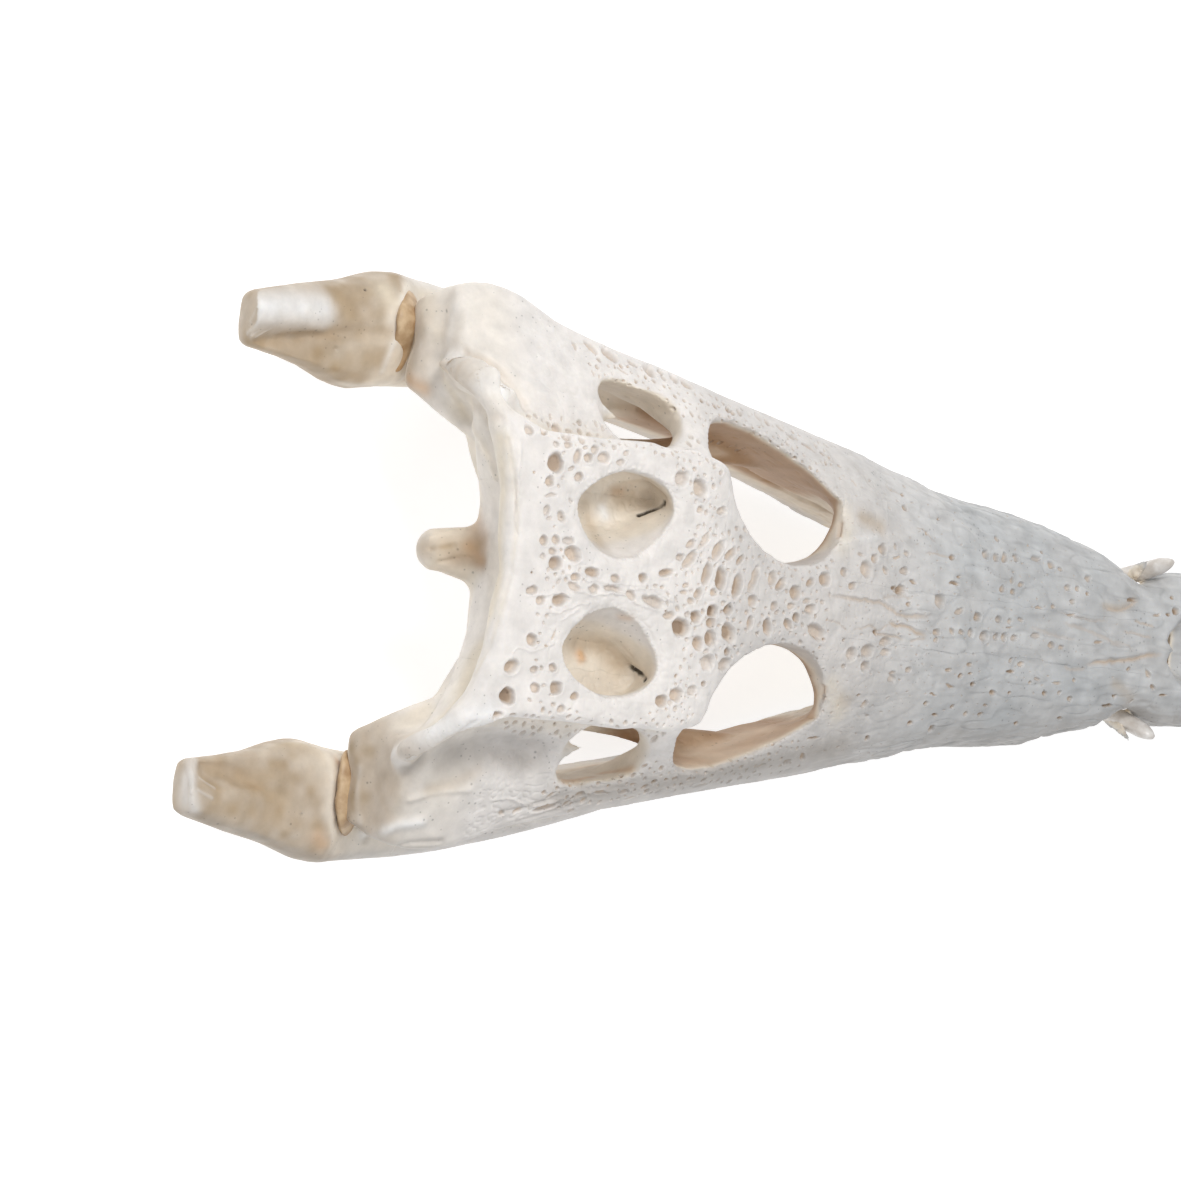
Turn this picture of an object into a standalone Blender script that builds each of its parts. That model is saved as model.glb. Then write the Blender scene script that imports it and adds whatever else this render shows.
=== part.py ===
"""Crocodile skull, cranium and closed lower jaw, lying on a flat surface.

Metres, +Z up, +X to the skull's left, the snout points to -Y, and the floor is at Z = 0.
Places on the skull are given as (side, station, height): fractions of the skull's length, with
station 0 at the tip of the snout and station 1 at the rear edge of the skull table.
"""
import math
import random

import bmesh
import bpy
import numpy as np
from mathutils import Matrix, Vector

# Driving dimensions
SKULL_LENGTH = 0.250
MIDDLE_STATION = 0.612
MIDDLE_SIDE = 0.0084
SEAM = 0.0003
VOXEL = 0.0013
SMOOTH_STEPS = 6
CRANIUM_FACES = 6600
RAMUS_FACES = 1500
RING_POINTS = 32
BIG = 2.0

for leftover in list(bpy.data.objects):
    bpy.data.objects.remove(leftover, do_unlink=True)


def curve_through(*knots):
    """Smooth function through (station, value) knots, with no overshoot between them."""
    at = np.array([k[0] for k in knots], float)
    value = np.array([k[1] for k in knots], float)
    step = np.diff(at)
    rise = np.diff(value) / step
    slope = np.zeros(len(at))
    slope[0], slope[-1] = rise[0], rise[-1]
    for i in range(1, len(at) - 1):
        if rise[i - 1] * rise[i] > 0:
            w1, w2 = 2 * step[i] + step[i - 1], step[i] + 2 * step[i - 1]
            slope[i] = (w1 + w2) / (w1 / rise[i - 1] + w2 / rise[i])

    def evaluate(s):
        s = min(max(s, at[0]), at[-1])
        i = min(int(np.searchsorted(at, s, side="right")) - 1, len(step) - 1)
        t = (s - at[i]) / step[i]
        return float(
            value[i] * (1 + 2 * t) * (1 - t) ** 2 + slope[i] * step[i] * t * (1 - t) ** 2
            + value[i + 1] * t * t * (3 - 2 * t) + slope[i + 1] * step[i] * t * t * (t - 1))
    return evaluate


# Half width of the cranium at its widest, along its whole length
HALF_WIDTH = curve_through(
    (0.0, 0.020), (0.006, 0.034), (0.020, 0.053), (0.045, 0.069), (0.085, 0.080), (0.120, 0.079), (0.150, 0.068),
    (0.168, 0.063), (0.185, 0.071), (0.210, 0.086), (0.250, 0.099), (0.300, 0.111), (0.345, 0.118),
    (0.400, 0.121), (0.440, 0.126), (0.510, 0.144), (0.560, 0.156), (0.620, 0.168), (0.680, 0.179),
    (0.740, 0.190), (0.800, 0.202), (0.870, 0.215), (0.930, 0.230), (0.980, 0.248), (1.010, 0.252), (1.060, 0.243))
# Height of the midline on top
TOP = curve_through(
    (0.0, 0.100), (0.012, 0.116), (0.040, 0.126), (0.090, 0.130), (0.140, 0.1335), (0.200, 0.141), (0.330, 0.159),
    (0.400, 0.173), (0.500, 0.196), (0.560, 0.211), (0.620, 0.227), (0.680, 0.242), (0.760, 0.262),
    (0.830, 0.274), (1.000, 0.285), (1.060, 0.285))
# Height of the upper jaw's edge, which waves up and down with the teeth
EDGE = curve_through(
    (0.0, 0.084), (0.040, 0.070), (0.090, 0.066), (0.135, 0.076), (0.168, 0.092), (0.200, 0.082), (0.260, 0.068),
    (0.345, 0.062), (0.430, 0.074), (0.500, 0.079), (0.580, 0.075), (0.660, 0.084), (0.730, 0.100),
    (0.800, 0.114), (0.900, 0.124), (0.980, 0.128), (1.060, 0.130))
# Power of the arch over each station: 2 is round, more is boxy, less falls away in a hollow flank
ARCH = curve_through(
    (0.0, 2.0), (0.100, 2.3), (0.300, 2.4), (0.450, 2.3), (0.600, 2.0), (0.700, 1.75), (0.800, 1.35), (0.860, 1.12),
    (1.000, 1.10), (1.060, 1.10))

# Lower jaw: outer and inner sides, upper and lower edges
JAW_OUTER = curve_through(
    (0.0, 0.014), (0.012, 0.026), (0.035, 0.036), (0.080, 0.048), (0.120, 0.053), (0.145, 0.064), (0.163, 0.069),
    (0.180, 0.063), (0.205, 0.057), (0.260, 0.073), (0.345, 0.089), (0.420, 0.093), (0.500, 0.110), (0.575, 0.130),
    (0.615, 0.156), (0.700, 0.181), (0.800, 0.213), (0.880, 0.235), (0.950, 0.252), (1.020, 0.262), (1.070, 0.265),
    (1.095, 0.260), (1.120, 0.251), (1.180, 0.237), (1.222, 0.226))
JAW_INNER = curve_through(
    (0.0, 0.0), (0.185, 0.0), (0.210, 0.012), (0.260, 0.036), (0.345, 0.054), (0.420, 0.068), (0.500, 0.089),
    (0.600, 0.120), (0.700, 0.148), (0.800, 0.168), (0.880, 0.182), (0.950, 0.180), (1.020, 0.166),
    (1.070, 0.161), (1.100, 0.155), (1.130, 0.160), (1.160, 0.169), (1.200, 0.175), (1.222, 0.177))
JAW_TOP = curve_through(
    (0.0, 0.062), (0.030, 0.067), (0.090, 0.063), (0.120, 0.069), (0.160, 0.084), (0.195, 0.079), (0.260, 0.065),
    (0.345, 0.059), (0.430, 0.071), (0.500, 0.076), (0.580, 0.072), (0.660, 0.081), (0.730, 0.096),
    (0.800, 0.109), (0.900, 0.117), (0.980, 0.112), (1.030, 0.108), (1.048, 0.112), (1.066, 0.134), (1.090, 0.132),
    (1.130, 0.137), (1.180, 0.152), (1.222, 0.162))
JAW_BOTTOM = curve_through(
    (0.0, 0.046), (0.020, 0.026), (0.060, 0.008), (0.120, -0.002), (0.220, -0.002), (0.300, 0.003), (0.450, 0.009),
    (0.600, 0.006), (0.720, 0.000), (0.800, -0.003), (0.880, -0.001), (0.950, 0.014), (1.020, 0.036),
    (1.080, 0.060), (1.140, 0.088), (1.222, 0.120))


def place(side, station, height):
    """Point of the skull in metres."""
    return Vector((side * SKULL_LENGTH, (station - MIDDLE_STATION) * SKULL_LENGTH, height * SKULL_LENGTH))


def make_object(name, mesh):
    thing = bpy.data.objects.new(name, mesh)
    bpy.context.scene.collection.objects.link(thing)
    return thing


def loft(rings, name="piece"):
    """Closed solid through rings of points, each ring of the same count."""
    shape = bmesh.new()
    loops = [[shape.verts.new(place(*point)) for point in ring] for ring in rings]
    count = len(loops[0])
    for first, second in zip(loops, loops[1:]):
        for i in range(count):
            j = (i + 1) % count
            shape.faces.new((first[i], first[j], second[j], second[i]))
    shape.faces.new(list(reversed(loops[0])))
    shape.faces.new(loops[-1])
    bmesh.ops.triangulate(shape, faces=[f for f in shape.faces if len(f.verts) > 4])
    bmesh.ops.recalc_face_normals(shape, faces=shape.faces)
    if shape.calc_volume(signed=True) < 0:
        bmesh.ops.reverse_faces(shape, faces=shape.faces)
    mesh = bpy.data.meshes.new(name)
    shape.to_mesh(mesh)
    shape.free()
    return make_object(name, mesh)


def closed_curve(corners, count):
    """Smooth closed outline through a few corners, as points of even spacing in corner order."""
    points = np.array(corners, float)
    total = len(points)
    result = []
    for k in range(count):
        t = k * total / count
        i, f = int(t), t - int(t)
        p0, p1, p2, p3 = (points[(i + j) % total] for j in (-1, 0, 1, 2))
        result.append(0.5 * (2 * p1 + (p2 - p0) * f + (2 * p0 - 5 * p1 + 4 * p2 - p3) * f * f
                             + (3 * p1 - p0 - 3 * p2 + p3) * f ** 3))
    return [tuple(float(c) for c in p) for p in result]


def bar(stops, count=12, power=2.4):
    """Rounded bar through stops of (centre, half width along side, half height), cut across its way."""
    rings = []
    centres = [place(*s[0]) for s in stops]
    for k, (_, wide, tall) in enumerate(stops):
        ahead = centres[min(k + 1, len(stops) - 1)] - centres[max(k - 1, 0)]
        ahead.normalize()
        across = ahead.cross(Vector((0, 0, 1)))
        across = across.normalized() if across.length > 1e-4 else Vector((1, 0, 0))
        up = across.cross(ahead).normalized()
        ring = []
        for i in range(count):
            a = 2 * math.pi * i / count
            c, s = math.cos(a), math.sin(a)
            x = math.copysign(abs(c) ** (2 / power), c) * wide * SKULL_LENGTH
            z = math.copysign(abs(s) ** (2 / power), s) * tall * SKULL_LENGTH
            ring.append(centres[k] + across * x + up * z)
        rings.append([(p.x / SKULL_LENGTH, p.y / SKULL_LENGTH + MIDDLE_STATION, p.z / SKULL_LENGTH) for p in ring])
    return loft(rings)


def ball(centre, radii, segments=20, rings=12):
    shape = bmesh.new()
    scale = Matrix.Diagonal([r * SKULL_LENGTH for r in radii] + [1.0])
    bmesh.ops.create_uvsphere(shape, u_segments=segments, v_segments=rings, radius=1.0,
                              matrix=Matrix.Translation(place(*centre)) @ scale)
    mesh = bpy.data.meshes.new("ball")
    shape.to_mesh(mesh)
    shape.free()
    return make_object("ball", mesh)


def mirrored(thing):
    """The same solid on the other side of the skull."""
    mesh = thing.data.copy()
    shape = bmesh.new()
    shape.from_mesh(mesh)
    bmesh.ops.scale(shape, vec=(-1, 1, 1), verts=shape.verts)
    bmesh.ops.reverse_faces(shape, faces=shape.faces)
    shape.to_mesh(mesh)
    shape.free()
    return make_object(thing.name, mesh)


def both_sides(things):
    return things + [mirrored(thing) for thing in things]


def applied(thing):
    """Bakes the object's modifiers into its mesh."""
    bpy.context.view_layer.update()
    graph = bpy.context.evaluated_depsgraph_get()
    mesh = bpy.data.meshes.new_from_object(thing.evaluated_get(graph))
    thing.modifiers.clear()
    thing.data = mesh
    return thing


def combine(target, others, operation, solver="EXACT"):
    """One Boolean of the target with a group of closed solids, which are used up."""
    if not others:
        return target
    group = bpy.data.collections.new("group")
    bpy.context.scene.collection.children.link(group)
    for other in others:
        group.objects.link(other)
    step = target.modifiers.new("combine", "BOOLEAN")
    step.operation = operation
    step.operand_type = "COLLECTION"
    step.collection = group
    step.solver = solver
    if solver == "EXACT":
        step.use_self = operation == "UNION"
    applied(target)
    for other in others:
        bpy.data.objects.remove(other, do_unlink=True)
    bpy.data.collections.remove(group)
    return target


def softened(thing, faces):
    """One smooth skin of few faces over the joined solids."""
    skin = thing.modifiers.new("skin", "REMESH")
    skin.mode = "VOXEL"
    skin.voxel_size = VOXEL
    smooth = thing.modifiers.new("smooth", "SMOOTH")
    smooth.factor = 0.5
    smooth.iterations = SMOOTH_STEPS
    applied(thing)
    fewer = thing.modifiers.new("fewer", "DECIMATE")
    fewer.ratio = min(1.0, faces / (2 * len(thing.data.polygons)))
    fewer.use_collapse_triangulate = True
    return applied(thing)


def largest_body(thing):
    """Keeps only the largest closed surface of a solid."""
    shape = bmesh.new()
    shape.from_mesh(thing.data)
    shape.verts.ensure_lookup_table()
    seen, groups = set(), []
    for start in shape.verts:
        if start.index in seen:
            continue
        stack, group = [start], []
        seen.add(start.index)
        while stack:
            vert = stack.pop()
            group.append(vert)
            for edge in vert.link_edges:
                other = edge.other_vert(vert)
                if other.index not in seen:
                    seen.add(other.index)
                    stack.append(other)
        groups.append(group)
    groups.sort(key=lambda g: -sum(f.calc_area() for v in g for f in v.link_faces))
    for group in groups[1:]:
        bmesh.ops.delete(shape, geom=group, context="VERTS")
    bmesh.ops.triangulate(shape, faces=shape.faces)
    shape.to_mesh(thing.data)
    shape.free()
    return thing


def half_space(point, normal, gap):
    """Large block that fills the side of a plane to which the normal points, from half a gap on."""
    shape = bmesh.new()
    bmesh.ops.create_cube(shape, size=1.0)
    turn = Vector((0, 0, 1)).rotation_difference(Vector(normal).normalized()).to_matrix().to_4x4()
    centre = place(*point) + Vector(normal).normalized() * (gap / 2 + BIG / 4)
    bmesh.ops.transform(shape, verts=shape.verts,
                        matrix=Matrix.Translation(centre) @ turn @ Matrix.Diagonal((BIG, BIG, BIG / 2, 1.0)))
    mesh = bpy.data.meshes.new("half")
    shape.to_mesh(mesh)
    shape.free()
    return make_object("half", mesh)


def duplicate(thing):
    return make_object(thing.name, thing.data.copy())


def arch_ring(station):
    """Cross section of the cranium's block: an arch over a shallow vaulted palate."""
    wide, top, edge, power = HALF_WIDTH(station), TOP(station), EDGE(station), ARCH(station)
    belly = edge + 0.32 * (top - edge)
    half = []
    steps = RING_POINTS // 2 - 6
    for i in range(steps + 1):
        a = math.pi / 2 * (1 - i / steps)
        half.append((wide * math.cos(a) ** (2 / power), belly + (top - belly) * math.sin(a) ** (2 / power)))
    half += [(0.985 * wide, edge + 0.12 * (top - edge)), (0.93 * wide, edge), (0.80 * wide, edge + 0.003),
             (0.62 * wide, edge + 0.016), (0.30 * wide, edge + 0.024), (0.0, edge + 0.025)]
    ring = [(x, station, z) for x, z in half]
    return ring + [(-x, station, z) for x, z in reversed(half[1:-1])]


def stations(*spans):
    """Stations from span to span: (start, end, count), with the last end included."""
    result = []
    for start, end, count in spans:
        result += [start + (end - start) * i / count for i in range(count)]
    return result + [spans[-1][1]]


def cranium_block():
    return loft([arch_ring(s) for s in stations((0.0, 0.05, 8), (0.05, 0.25, 14), (0.25, 0.7, 18), (0.7, 1.046, 18))])


# Outline of the plate of the frontal and the skull table, left half, from the front midline to the rear midline
TABLE = ((0.0, 0.610), (0.050, 0.622), (0.090, 0.655), (0.106, 0.700), (0.112, 0.750), (0.122, 0.795), (0.128, 0.822),
         (0.127, 0.870), (0.124, 0.930), (0.124, 0.985), (0.140, 1.020), (0.166, 1.048), (0.164, 1.058),
         (0.140, 1.042), (0.105, 1.022), (0.070, 1.012), (0.030, 1.010), (0.0, 1.004))
TABLE_THICKNESS = 0.034
TABLE_MIDDLE = 0.86
TABLE_FALL = curve_through((0.60, 0.034), (0.66, 0.020), (0.72, 0.008), (0.78, 0.003), (0.83, 0.0))


def table_slab():
    outline = list(TABLE) + [(-x, s) for x, s in reversed(TABLE[1:-1])]

    def level(x, s, drop):
        prong = max(0.0, abs(x) - 0.124) / 0.042
        return TOP(s) + 0.001 - TABLE_FALL(s) * (x / 0.1) ** 2 - 0.045 * prong * (s > 0.95) - drop
    rings = []
    for inset, drop in ((0.50, 0.002), (0.94, 0.0), (0.985, 0.003), (1.0, 0.009), (0.99, TABLE_THICKNESS - 0.006),
                        (0.93, TABLE_THICKNESS)):
        rings.append([(x * inset, TABLE_MIDDLE + (s - TABLE_MIDDLE) * inset,
                       level(x * inset, TABLE_MIDDLE + (s - TABLE_MIDDLE) * inset, drop)) for x, s in outline])
    return loft(rings)


def occiput():
    """Rear wall under the table, with the paroccipital wings, and the neck's round condyle."""
    wall = bar([((-0.154, 1.022, 0.212), 0.014, 0.012), ((-0.112, 0.990, 0.214), 0.018, 0.030),
                ((-0.060, 0.963, 0.208), 0.022, 0.046), ((0.0, 0.955, 0.204), 0.026, 0.054),
                ((0.060, 0.963, 0.208), 0.022, 0.046), ((0.112, 0.990, 0.214), 0.018, 0.030),
                ((0.154, 1.022, 0.212), 0.014, 0.012)])
    neck = bar([((0.008, 0.910, 0.165), 0.038, 0.028), ((0.012, 0.965, 0.168), 0.028, 0.023),
                ((0.013, 1.005, 0.168), 0.021, 0.017)])
    condyle = ball((0.013, 1.014, 0.167), (0.021, 0.020, 0.018))
    plate = bar([((0.0, 0.880, 0.116), 0.050, 0.020), ((0.0, 0.925, 0.122), 0.044, 0.024),
                 ((0.004, 0.944, 0.132), 0.028, 0.020)])
    return [wall, neck, condyle, plate]


# Notch behind the occiput, between the quadrates, seen from above
REAR_NOTCH = ((0.0, 0.962), (0.060, 0.968), (0.102, 0.986), (0.133, 1.006), (0.148, 1.034), (0.158, 1.100),
              (0.0, 1.140), (-0.158, 1.100), (-0.148, 1.034), (-0.133, 1.006), (-0.102, 0.986), (-0.060, 0.968))


def quadrate():
    """Left quadrate's shaft and the roller of the jaw joint."""
    shaft = bar([((0.150, 0.960, 0.176), 0.050, 0.022), ((0.176, 1.000, 0.162), 0.056, 0.020),
                 ((0.190, 1.034, 0.148), 0.050, 0.018)], count=16)
    roller = bar([((0.150, 1.050, 0.136), 0.013, 0.014), ((0.172, 1.048, 0.141), 0.016, 0.018),
                  ((0.192, 1.046, 0.144), 0.013, 0.015), ((0.212, 1.046, 0.142), 0.016, 0.018),
                  ((0.234, 1.048, 0.138), 0.013, 0.014)])
    return [shaft, roller]


def eye_bar():
    """Left bar behind the orbit, from the table's front corner down to the cheek."""
    return [bar([((0.104, 0.790, 0.238), 0.015, 0.014), ((0.126, 0.788, 0.216), 0.013, 0.012),
                 ((0.148, 0.788, 0.192), 0.012, 0.011), ((0.164, 0.792, 0.166), 0.015, 0.014),
                 ((0.176, 0.796, 0.142), 0.016, 0.014)])]


def cheek_spine():
    """Small pointed spine that stands into the left lower opening from behind."""
    return [bar([((0.158, 0.894, 0.196), 0.010, 0.008), ((0.151, 0.874, 0.197), 0.007, 0.006),
                 ((0.145, 0.852, 0.196), 0.002, 0.002)], count=8)]


def cheek_bar():
    """Left jugal and quadratojugal: the bar under the orbit and the lower temporal opening."""
    return [bar([((0.130, 0.600, 0.122), 0.018, 0.028), ((0.158, 0.680, 0.132), 0.017, 0.028),
                 ((0.175, 0.760, 0.142), 0.015, 0.025), ((0.187, 0.830, 0.148), 0.014, 0.022),
                 ((0.200, 0.900, 0.154), 0.016, 0.022), ((0.214, 0.960, 0.156), 0.022, 0.022),
                 ((0.222, 1.020, 0.146), 0.018, 0.018)], count=14)]


def palate():
    """Palatine bar, pterygoid wings and the ectopterygoid struts, under the cranium."""
    palatines = bar([((0.0, 0.420, 0.112), 0.040, 0.018), ((0.0, 0.520, 0.118), 0.032, 0.020),
                     ((0.0, 0.620, 0.122), 0.028, 0.024), ((0.0, 0.720, 0.120), 0.028, 0.026),
                     ((0.0, 0.800, 0.114), 0.040, 0.024), ((0.0, 0.900, 0.112), 0.050, 0.026)])
    wing = loft([closed_wing(0.020, 0.790, 0.925, 0.108, 0.018), closed_wing(0.070, 0.800, 0.930, 0.100, 0.014),
                 closed_wing(0.108, 0.815, 0.920, 0.086, 0.012), closed_wing(0.134, 0.835, 0.905, 0.066, 0.012),
                 closed_wing(0.144, 0.850, 0.892, 0.056, 0.010)])
    strut = bar([((0.140, 0.650, 0.122), 0.016, 0.014), ((0.136, 0.720, 0.120), 0.012, 0.011),
                 ((0.128, 0.780, 0.108), 0.011, 0.011), ((0.120, 0.850, 0.082), 0.015, 0.011)])
    return [palatines] + both_sides([wing, strut])


def closed_wing(side, front, rear, height, thick):
    """Flat rounded section of a wing that spreads sideways."""
    middle, reach = (front + rear) / 2, (rear - front) / 2
    ring = []
    for i in range(16):
        a = 2 * math.pi * i / 16
        ring.append((side, middle + reach * math.cos(a), height + thick / 2 * math.sin(a)))
    return ring


# Openings of the left side, as (side, station) outlines seen from above
ORBIT_RIM = ((0.072, 0.618), (0.046, 0.638), (0.036, 0.676), (0.042, 0.712), (0.059, 0.742), (0.082, 0.762),
             (0.106, 0.774), (0.132, 0.774), (0.156, 0.760), (0.158, 0.726), (0.141, 0.680), (0.120, 0.642),
             (0.097, 0.612))
ORBIT_FLOOR = ((0.082, 0.530), (0.060, 0.532), (0.040, 0.560), (0.036, 0.605), (0.038, 0.660), (0.044, 0.720),
               (0.066, 0.768), (0.100, 0.788), (0.134, 0.784), (0.150, 0.758), (0.140, 0.700), (0.120, 0.640),
               (0.101, 0.570))
UPPER_OPENING = ((0.070, 0.838), (0.046, 0.848), (0.026, 0.872), (0.021, 0.898), (0.036, 0.926), (0.062, 0.942),
                 (0.084, 0.926), (0.097, 0.892), (0.090, 0.856))
UPPER_MIDDLE = ((0.078, 0.836), (0.060, 0.848), (0.044, 0.870), (0.036, 0.898), (0.044, 0.926), (0.064, 0.941),
                (0.087, 0.930), (0.100, 0.895), (0.095, 0.852))
UPPER_FLOOR = ((0.080, 0.828), (0.070, 0.842), (0.058, 0.862), (0.050, 0.888), (0.053, 0.914), (0.067, 0.930),
               (0.086, 0.922), (0.099, 0.893), (0.095, 0.846))
BOWL_SLIT = ((0.060, 0.864), (0.067, 0.858), (0.077, 0.842), (0.084, 0.822), (0.080, 0.820), (0.072, 0.836),
             (0.064, 0.850))
LOWER_OPENING = ((0.150, 0.800), (0.134, 0.806), (0.124, 0.830), (0.126, 0.864), (0.142, 0.884), (0.158, 0.890),
                 (0.175, 0.884), (0.178, 0.860), (0.173, 0.826), (0.164, 0.804))


def shaft_cutter(levels, count=28):
    """Cutter through outlines at rising heights: each is (outline, height)."""
    return loft([[(x, s, height) for x, s in closed_curve(outline, count)] for outline, height in levels])


def chamber_cutter():
    """Hollow of the left jaw muscles, open below, between the braincase, the cheek bar and the quadrate."""
    rings = []
    for station, inner, outer, roof in ((0.690, 0.060, 0.140, 0.150), (0.735, 0.046, 0.152, 0.180),
                                        (0.790, 0.046, 0.166, 0.205), (0.840, 0.052, 0.174, 0.206),
                                        (0.880, 0.056, 0.178, 0.194), (0.920, 0.070, 0.176, 0.160)):
        ring = []
        for i in range(20):
            a = 2 * math.pi * i / 20
            c, s = math.cos(a), math.sin(a)
            x = (inner + outer) / 2 + (outer - inner) / 2 * math.copysign(abs(c) ** 0.7, c)
            z = roof / 2 + (roof / 2 + 0.01) * math.copysign(abs(s) ** 0.6, s)
            # the hollow's roof follows the flank, which falls away to the side
            z -= max(0.0, s) * 0.05 * max(0.0, x - 0.11) / 0.07
            ring.append((x, station, z))
        rings.append(ring)
    return loft(rings)


def naris_cutter():
    rim = ((0.0, 0.048), (-0.024, 0.058), (-0.034, 0.082), (-0.033, 0.108), (-0.022, 0.130), (-0.008, 0.140),
           (0.0, 0.124), (0.008, 0.140), (0.022, 0.130), (0.033, 0.108), (0.034, 0.082), (0.024, 0.058))
    floor = tuple((x * 0.7, 0.09 + (s - 0.09) * 0.75) for x, s in rim)
    return shaft_cutter(((floor, 0.098), (rim, 0.118), (rim, 0.150)), count=48)


def cranium():
    body = cranium_block()
    combine(body, [shaft_cutter(((REAR_NOTCH, 0.0), (REAR_NOTCH, 0.320)), count=60)], "DIFFERENCE", "MANIFOLD")
    combine(body, [table_slab()] + both_sides(cheek_bar() + quadrate()), "UNION", "MANIFOLD")
    orbit = shaft_cutter(((ORBIT_FLOOR, 0.0), (ORBIT_FLOOR, 0.130), (ORBIT_RIM, 0.190), (ORBIT_RIM, 0.300)))
    upper = shaft_cutter(((UPPER_FLOOR, 0.226), (UPPER_MIDDLE, 0.246), (UPPER_OPENING, 0.272), (UPPER_OPENING, 0.300)))
    slit = shaft_cutter(((BOWL_SLIT, 0.180), (BOWL_SLIT, 0.240)))
    lower = shaft_cutter(((LOWER_OPENING, 0.10), (LOWER_OPENING, 0.300)))
    combine(body, both_sides([chamber_cutter()]), "DIFFERENCE", "MANIFOLD")
    combine(body, both_sides([orbit, upper, slit, lower]) + [naris_cutter()], "DIFFERENCE", "MANIFOLD")
    combine(body, occiput() + palate() + both_sides(eye_bar() + cheek_spine()), "UNION", "MANIFOLD")
    return softened(body, CRANIUM_FACES)


# Where the cranium is parted, in fractions of the skull's length
PREMAXILLA_END = 0.176
FACE_END = 0.612
TABLE_START = 0.776
NASAL_HALF = 0.026
JUGAL_END = 0.850
JUGAL_START_SIDE = 0.100
JUGAL_SPREAD = 0.14
PALATE_TOP = 0.152
PALATE_END = 0.930
BRAINCASE_HALF = 0.078


def kept(thing, *sides):
    """The part of a solid on the normal's side of each plane, half a seam away from it."""
    result = duplicate(thing)
    for point, normal in sides:
        combine(result, [half_space(point, normal, SEAM)], "INTERSECT", "MANIFOLD")
    return result


def without(thing, *sides):
    """The solid less the wedge that lies on the normal's side of every plane, with a seam left open."""
    wedge = half_space(sides[0][0], sides[0][1], -SEAM)
    for point, normal in sides[1:]:
        combine(wedge, [half_space(point, normal, -SEAM)], "INTERSECT", "MANIFOLD")
    result = duplicate(thing)
    return combine(result, [wedge], "DIFFERENCE", "MANIFOLD")


def cranium_nodes():
    """Parts the cranium along its main sutures. Paired bones are made on the left and mirrored."""
    whole = cranium()
    front, rear = (0, -1, 0), (0, 1, 0)
    left, down = (1, 0, 0), (0, 0, -1)
    nasal_floor = ((0, 0.395, 0.150), (0, -0.19, 1))
    table_floor = ((0, 0.776, 0.226), (0, -0.107, 1))
    jugal_side = ((JUGAL_START_SIDE, 0.60, 0), (1, -JUGAL_SPREAD, 0))
    nodes = {}
    nodes["premaxillae"] = kept(whole, ((0, PREMAXILLA_END, 0), front))
    face = kept(whole, ((0, PREMAXILLA_END, 0), rear), ((0, FACE_END, 0), front))
    nasal_sides = (((NASAL_HALF, 0, 0), (-1, 0, 0)), ((-NASAL_HALF, 0, 0), left), nasal_floor)
    nodes["nasals"] = kept(face, *nasal_sides)
    nodes["maxilla_left"] = without(kept(face, ((0, 0, 0), left)), *nasal_sides)
    back = kept(whole, ((0, FACE_END, 0), rear))
    table_sides = (((0, TABLE_START, 0), rear), table_floor)
    nodes["skull_table"] = kept(back, *table_sides)
    back = without(back, *table_sides)
    jugal_sides = (((0, JUGAL_END, 0), front), jugal_side)
    nodes["jugal_left"] = kept(back, *jugal_sides)
    back = without(back, *jugal_sides)
    back = without(back, ((0, JUGAL_END, 0), front), ((-JUGAL_START_SIDE, 0.60, 0), (-1, -JUGAL_SPREAD, 0)))
    palate_sides = (((0, 0, PALATE_TOP), down), ((0, PALATE_END, 0), front))
    nodes["palate"] = kept(back, *palate_sides)
    back = without(back, *palate_sides)
    nodes["frontal"] = kept(back, ((0, TABLE_START, 0), front))
    back = kept(back, ((0, TABLE_START, 0), rear))
    nodes["quadrate_left"] = kept(back, ((BRAINCASE_HALF, 0, 0), left))
    nodes["braincase"] = kept(back, ((BRAINCASE_HALF, 0, 0), (-1, 0, 0)), ((-BRAINCASE_HALF, 0, 0), left))
    for name in ("maxilla_left", "jugal_left", "quadrate_left"):
        nodes[name.replace("left", "right")] = mirrored(nodes[name])
    return nodes


def jaw_ring(station):
    """Cross section of the left ramus, a rounded upright plate."""
    outer, inner = JAW_OUTER(station), JAW_INNER(station)
    top, bottom = JAW_TOP(station), JAW_BOTTOM(station)
    middle, half = (outer + inner) / 2, (outer - inner) / 2
    centre, tall = (top + bottom) / 2, (top - bottom) / 2
    ring = []
    count = 24
    for i in range(count):
        a = 2 * math.pi * i / count
        c, s = math.cos(a), math.sin(a)
        ring.append((middle + half * math.copysign(abs(c) ** 0.62, c), station,
                     centre + tall * math.copysign(abs(s) ** 0.62, s)))
    return ring


DENTARY_END = 0.715
ANGULAR_END = 0.990
JAW_SLIDE = -0.003
LEFT_FORWARD = 0.016
JAW_TURN = -0.0064


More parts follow.
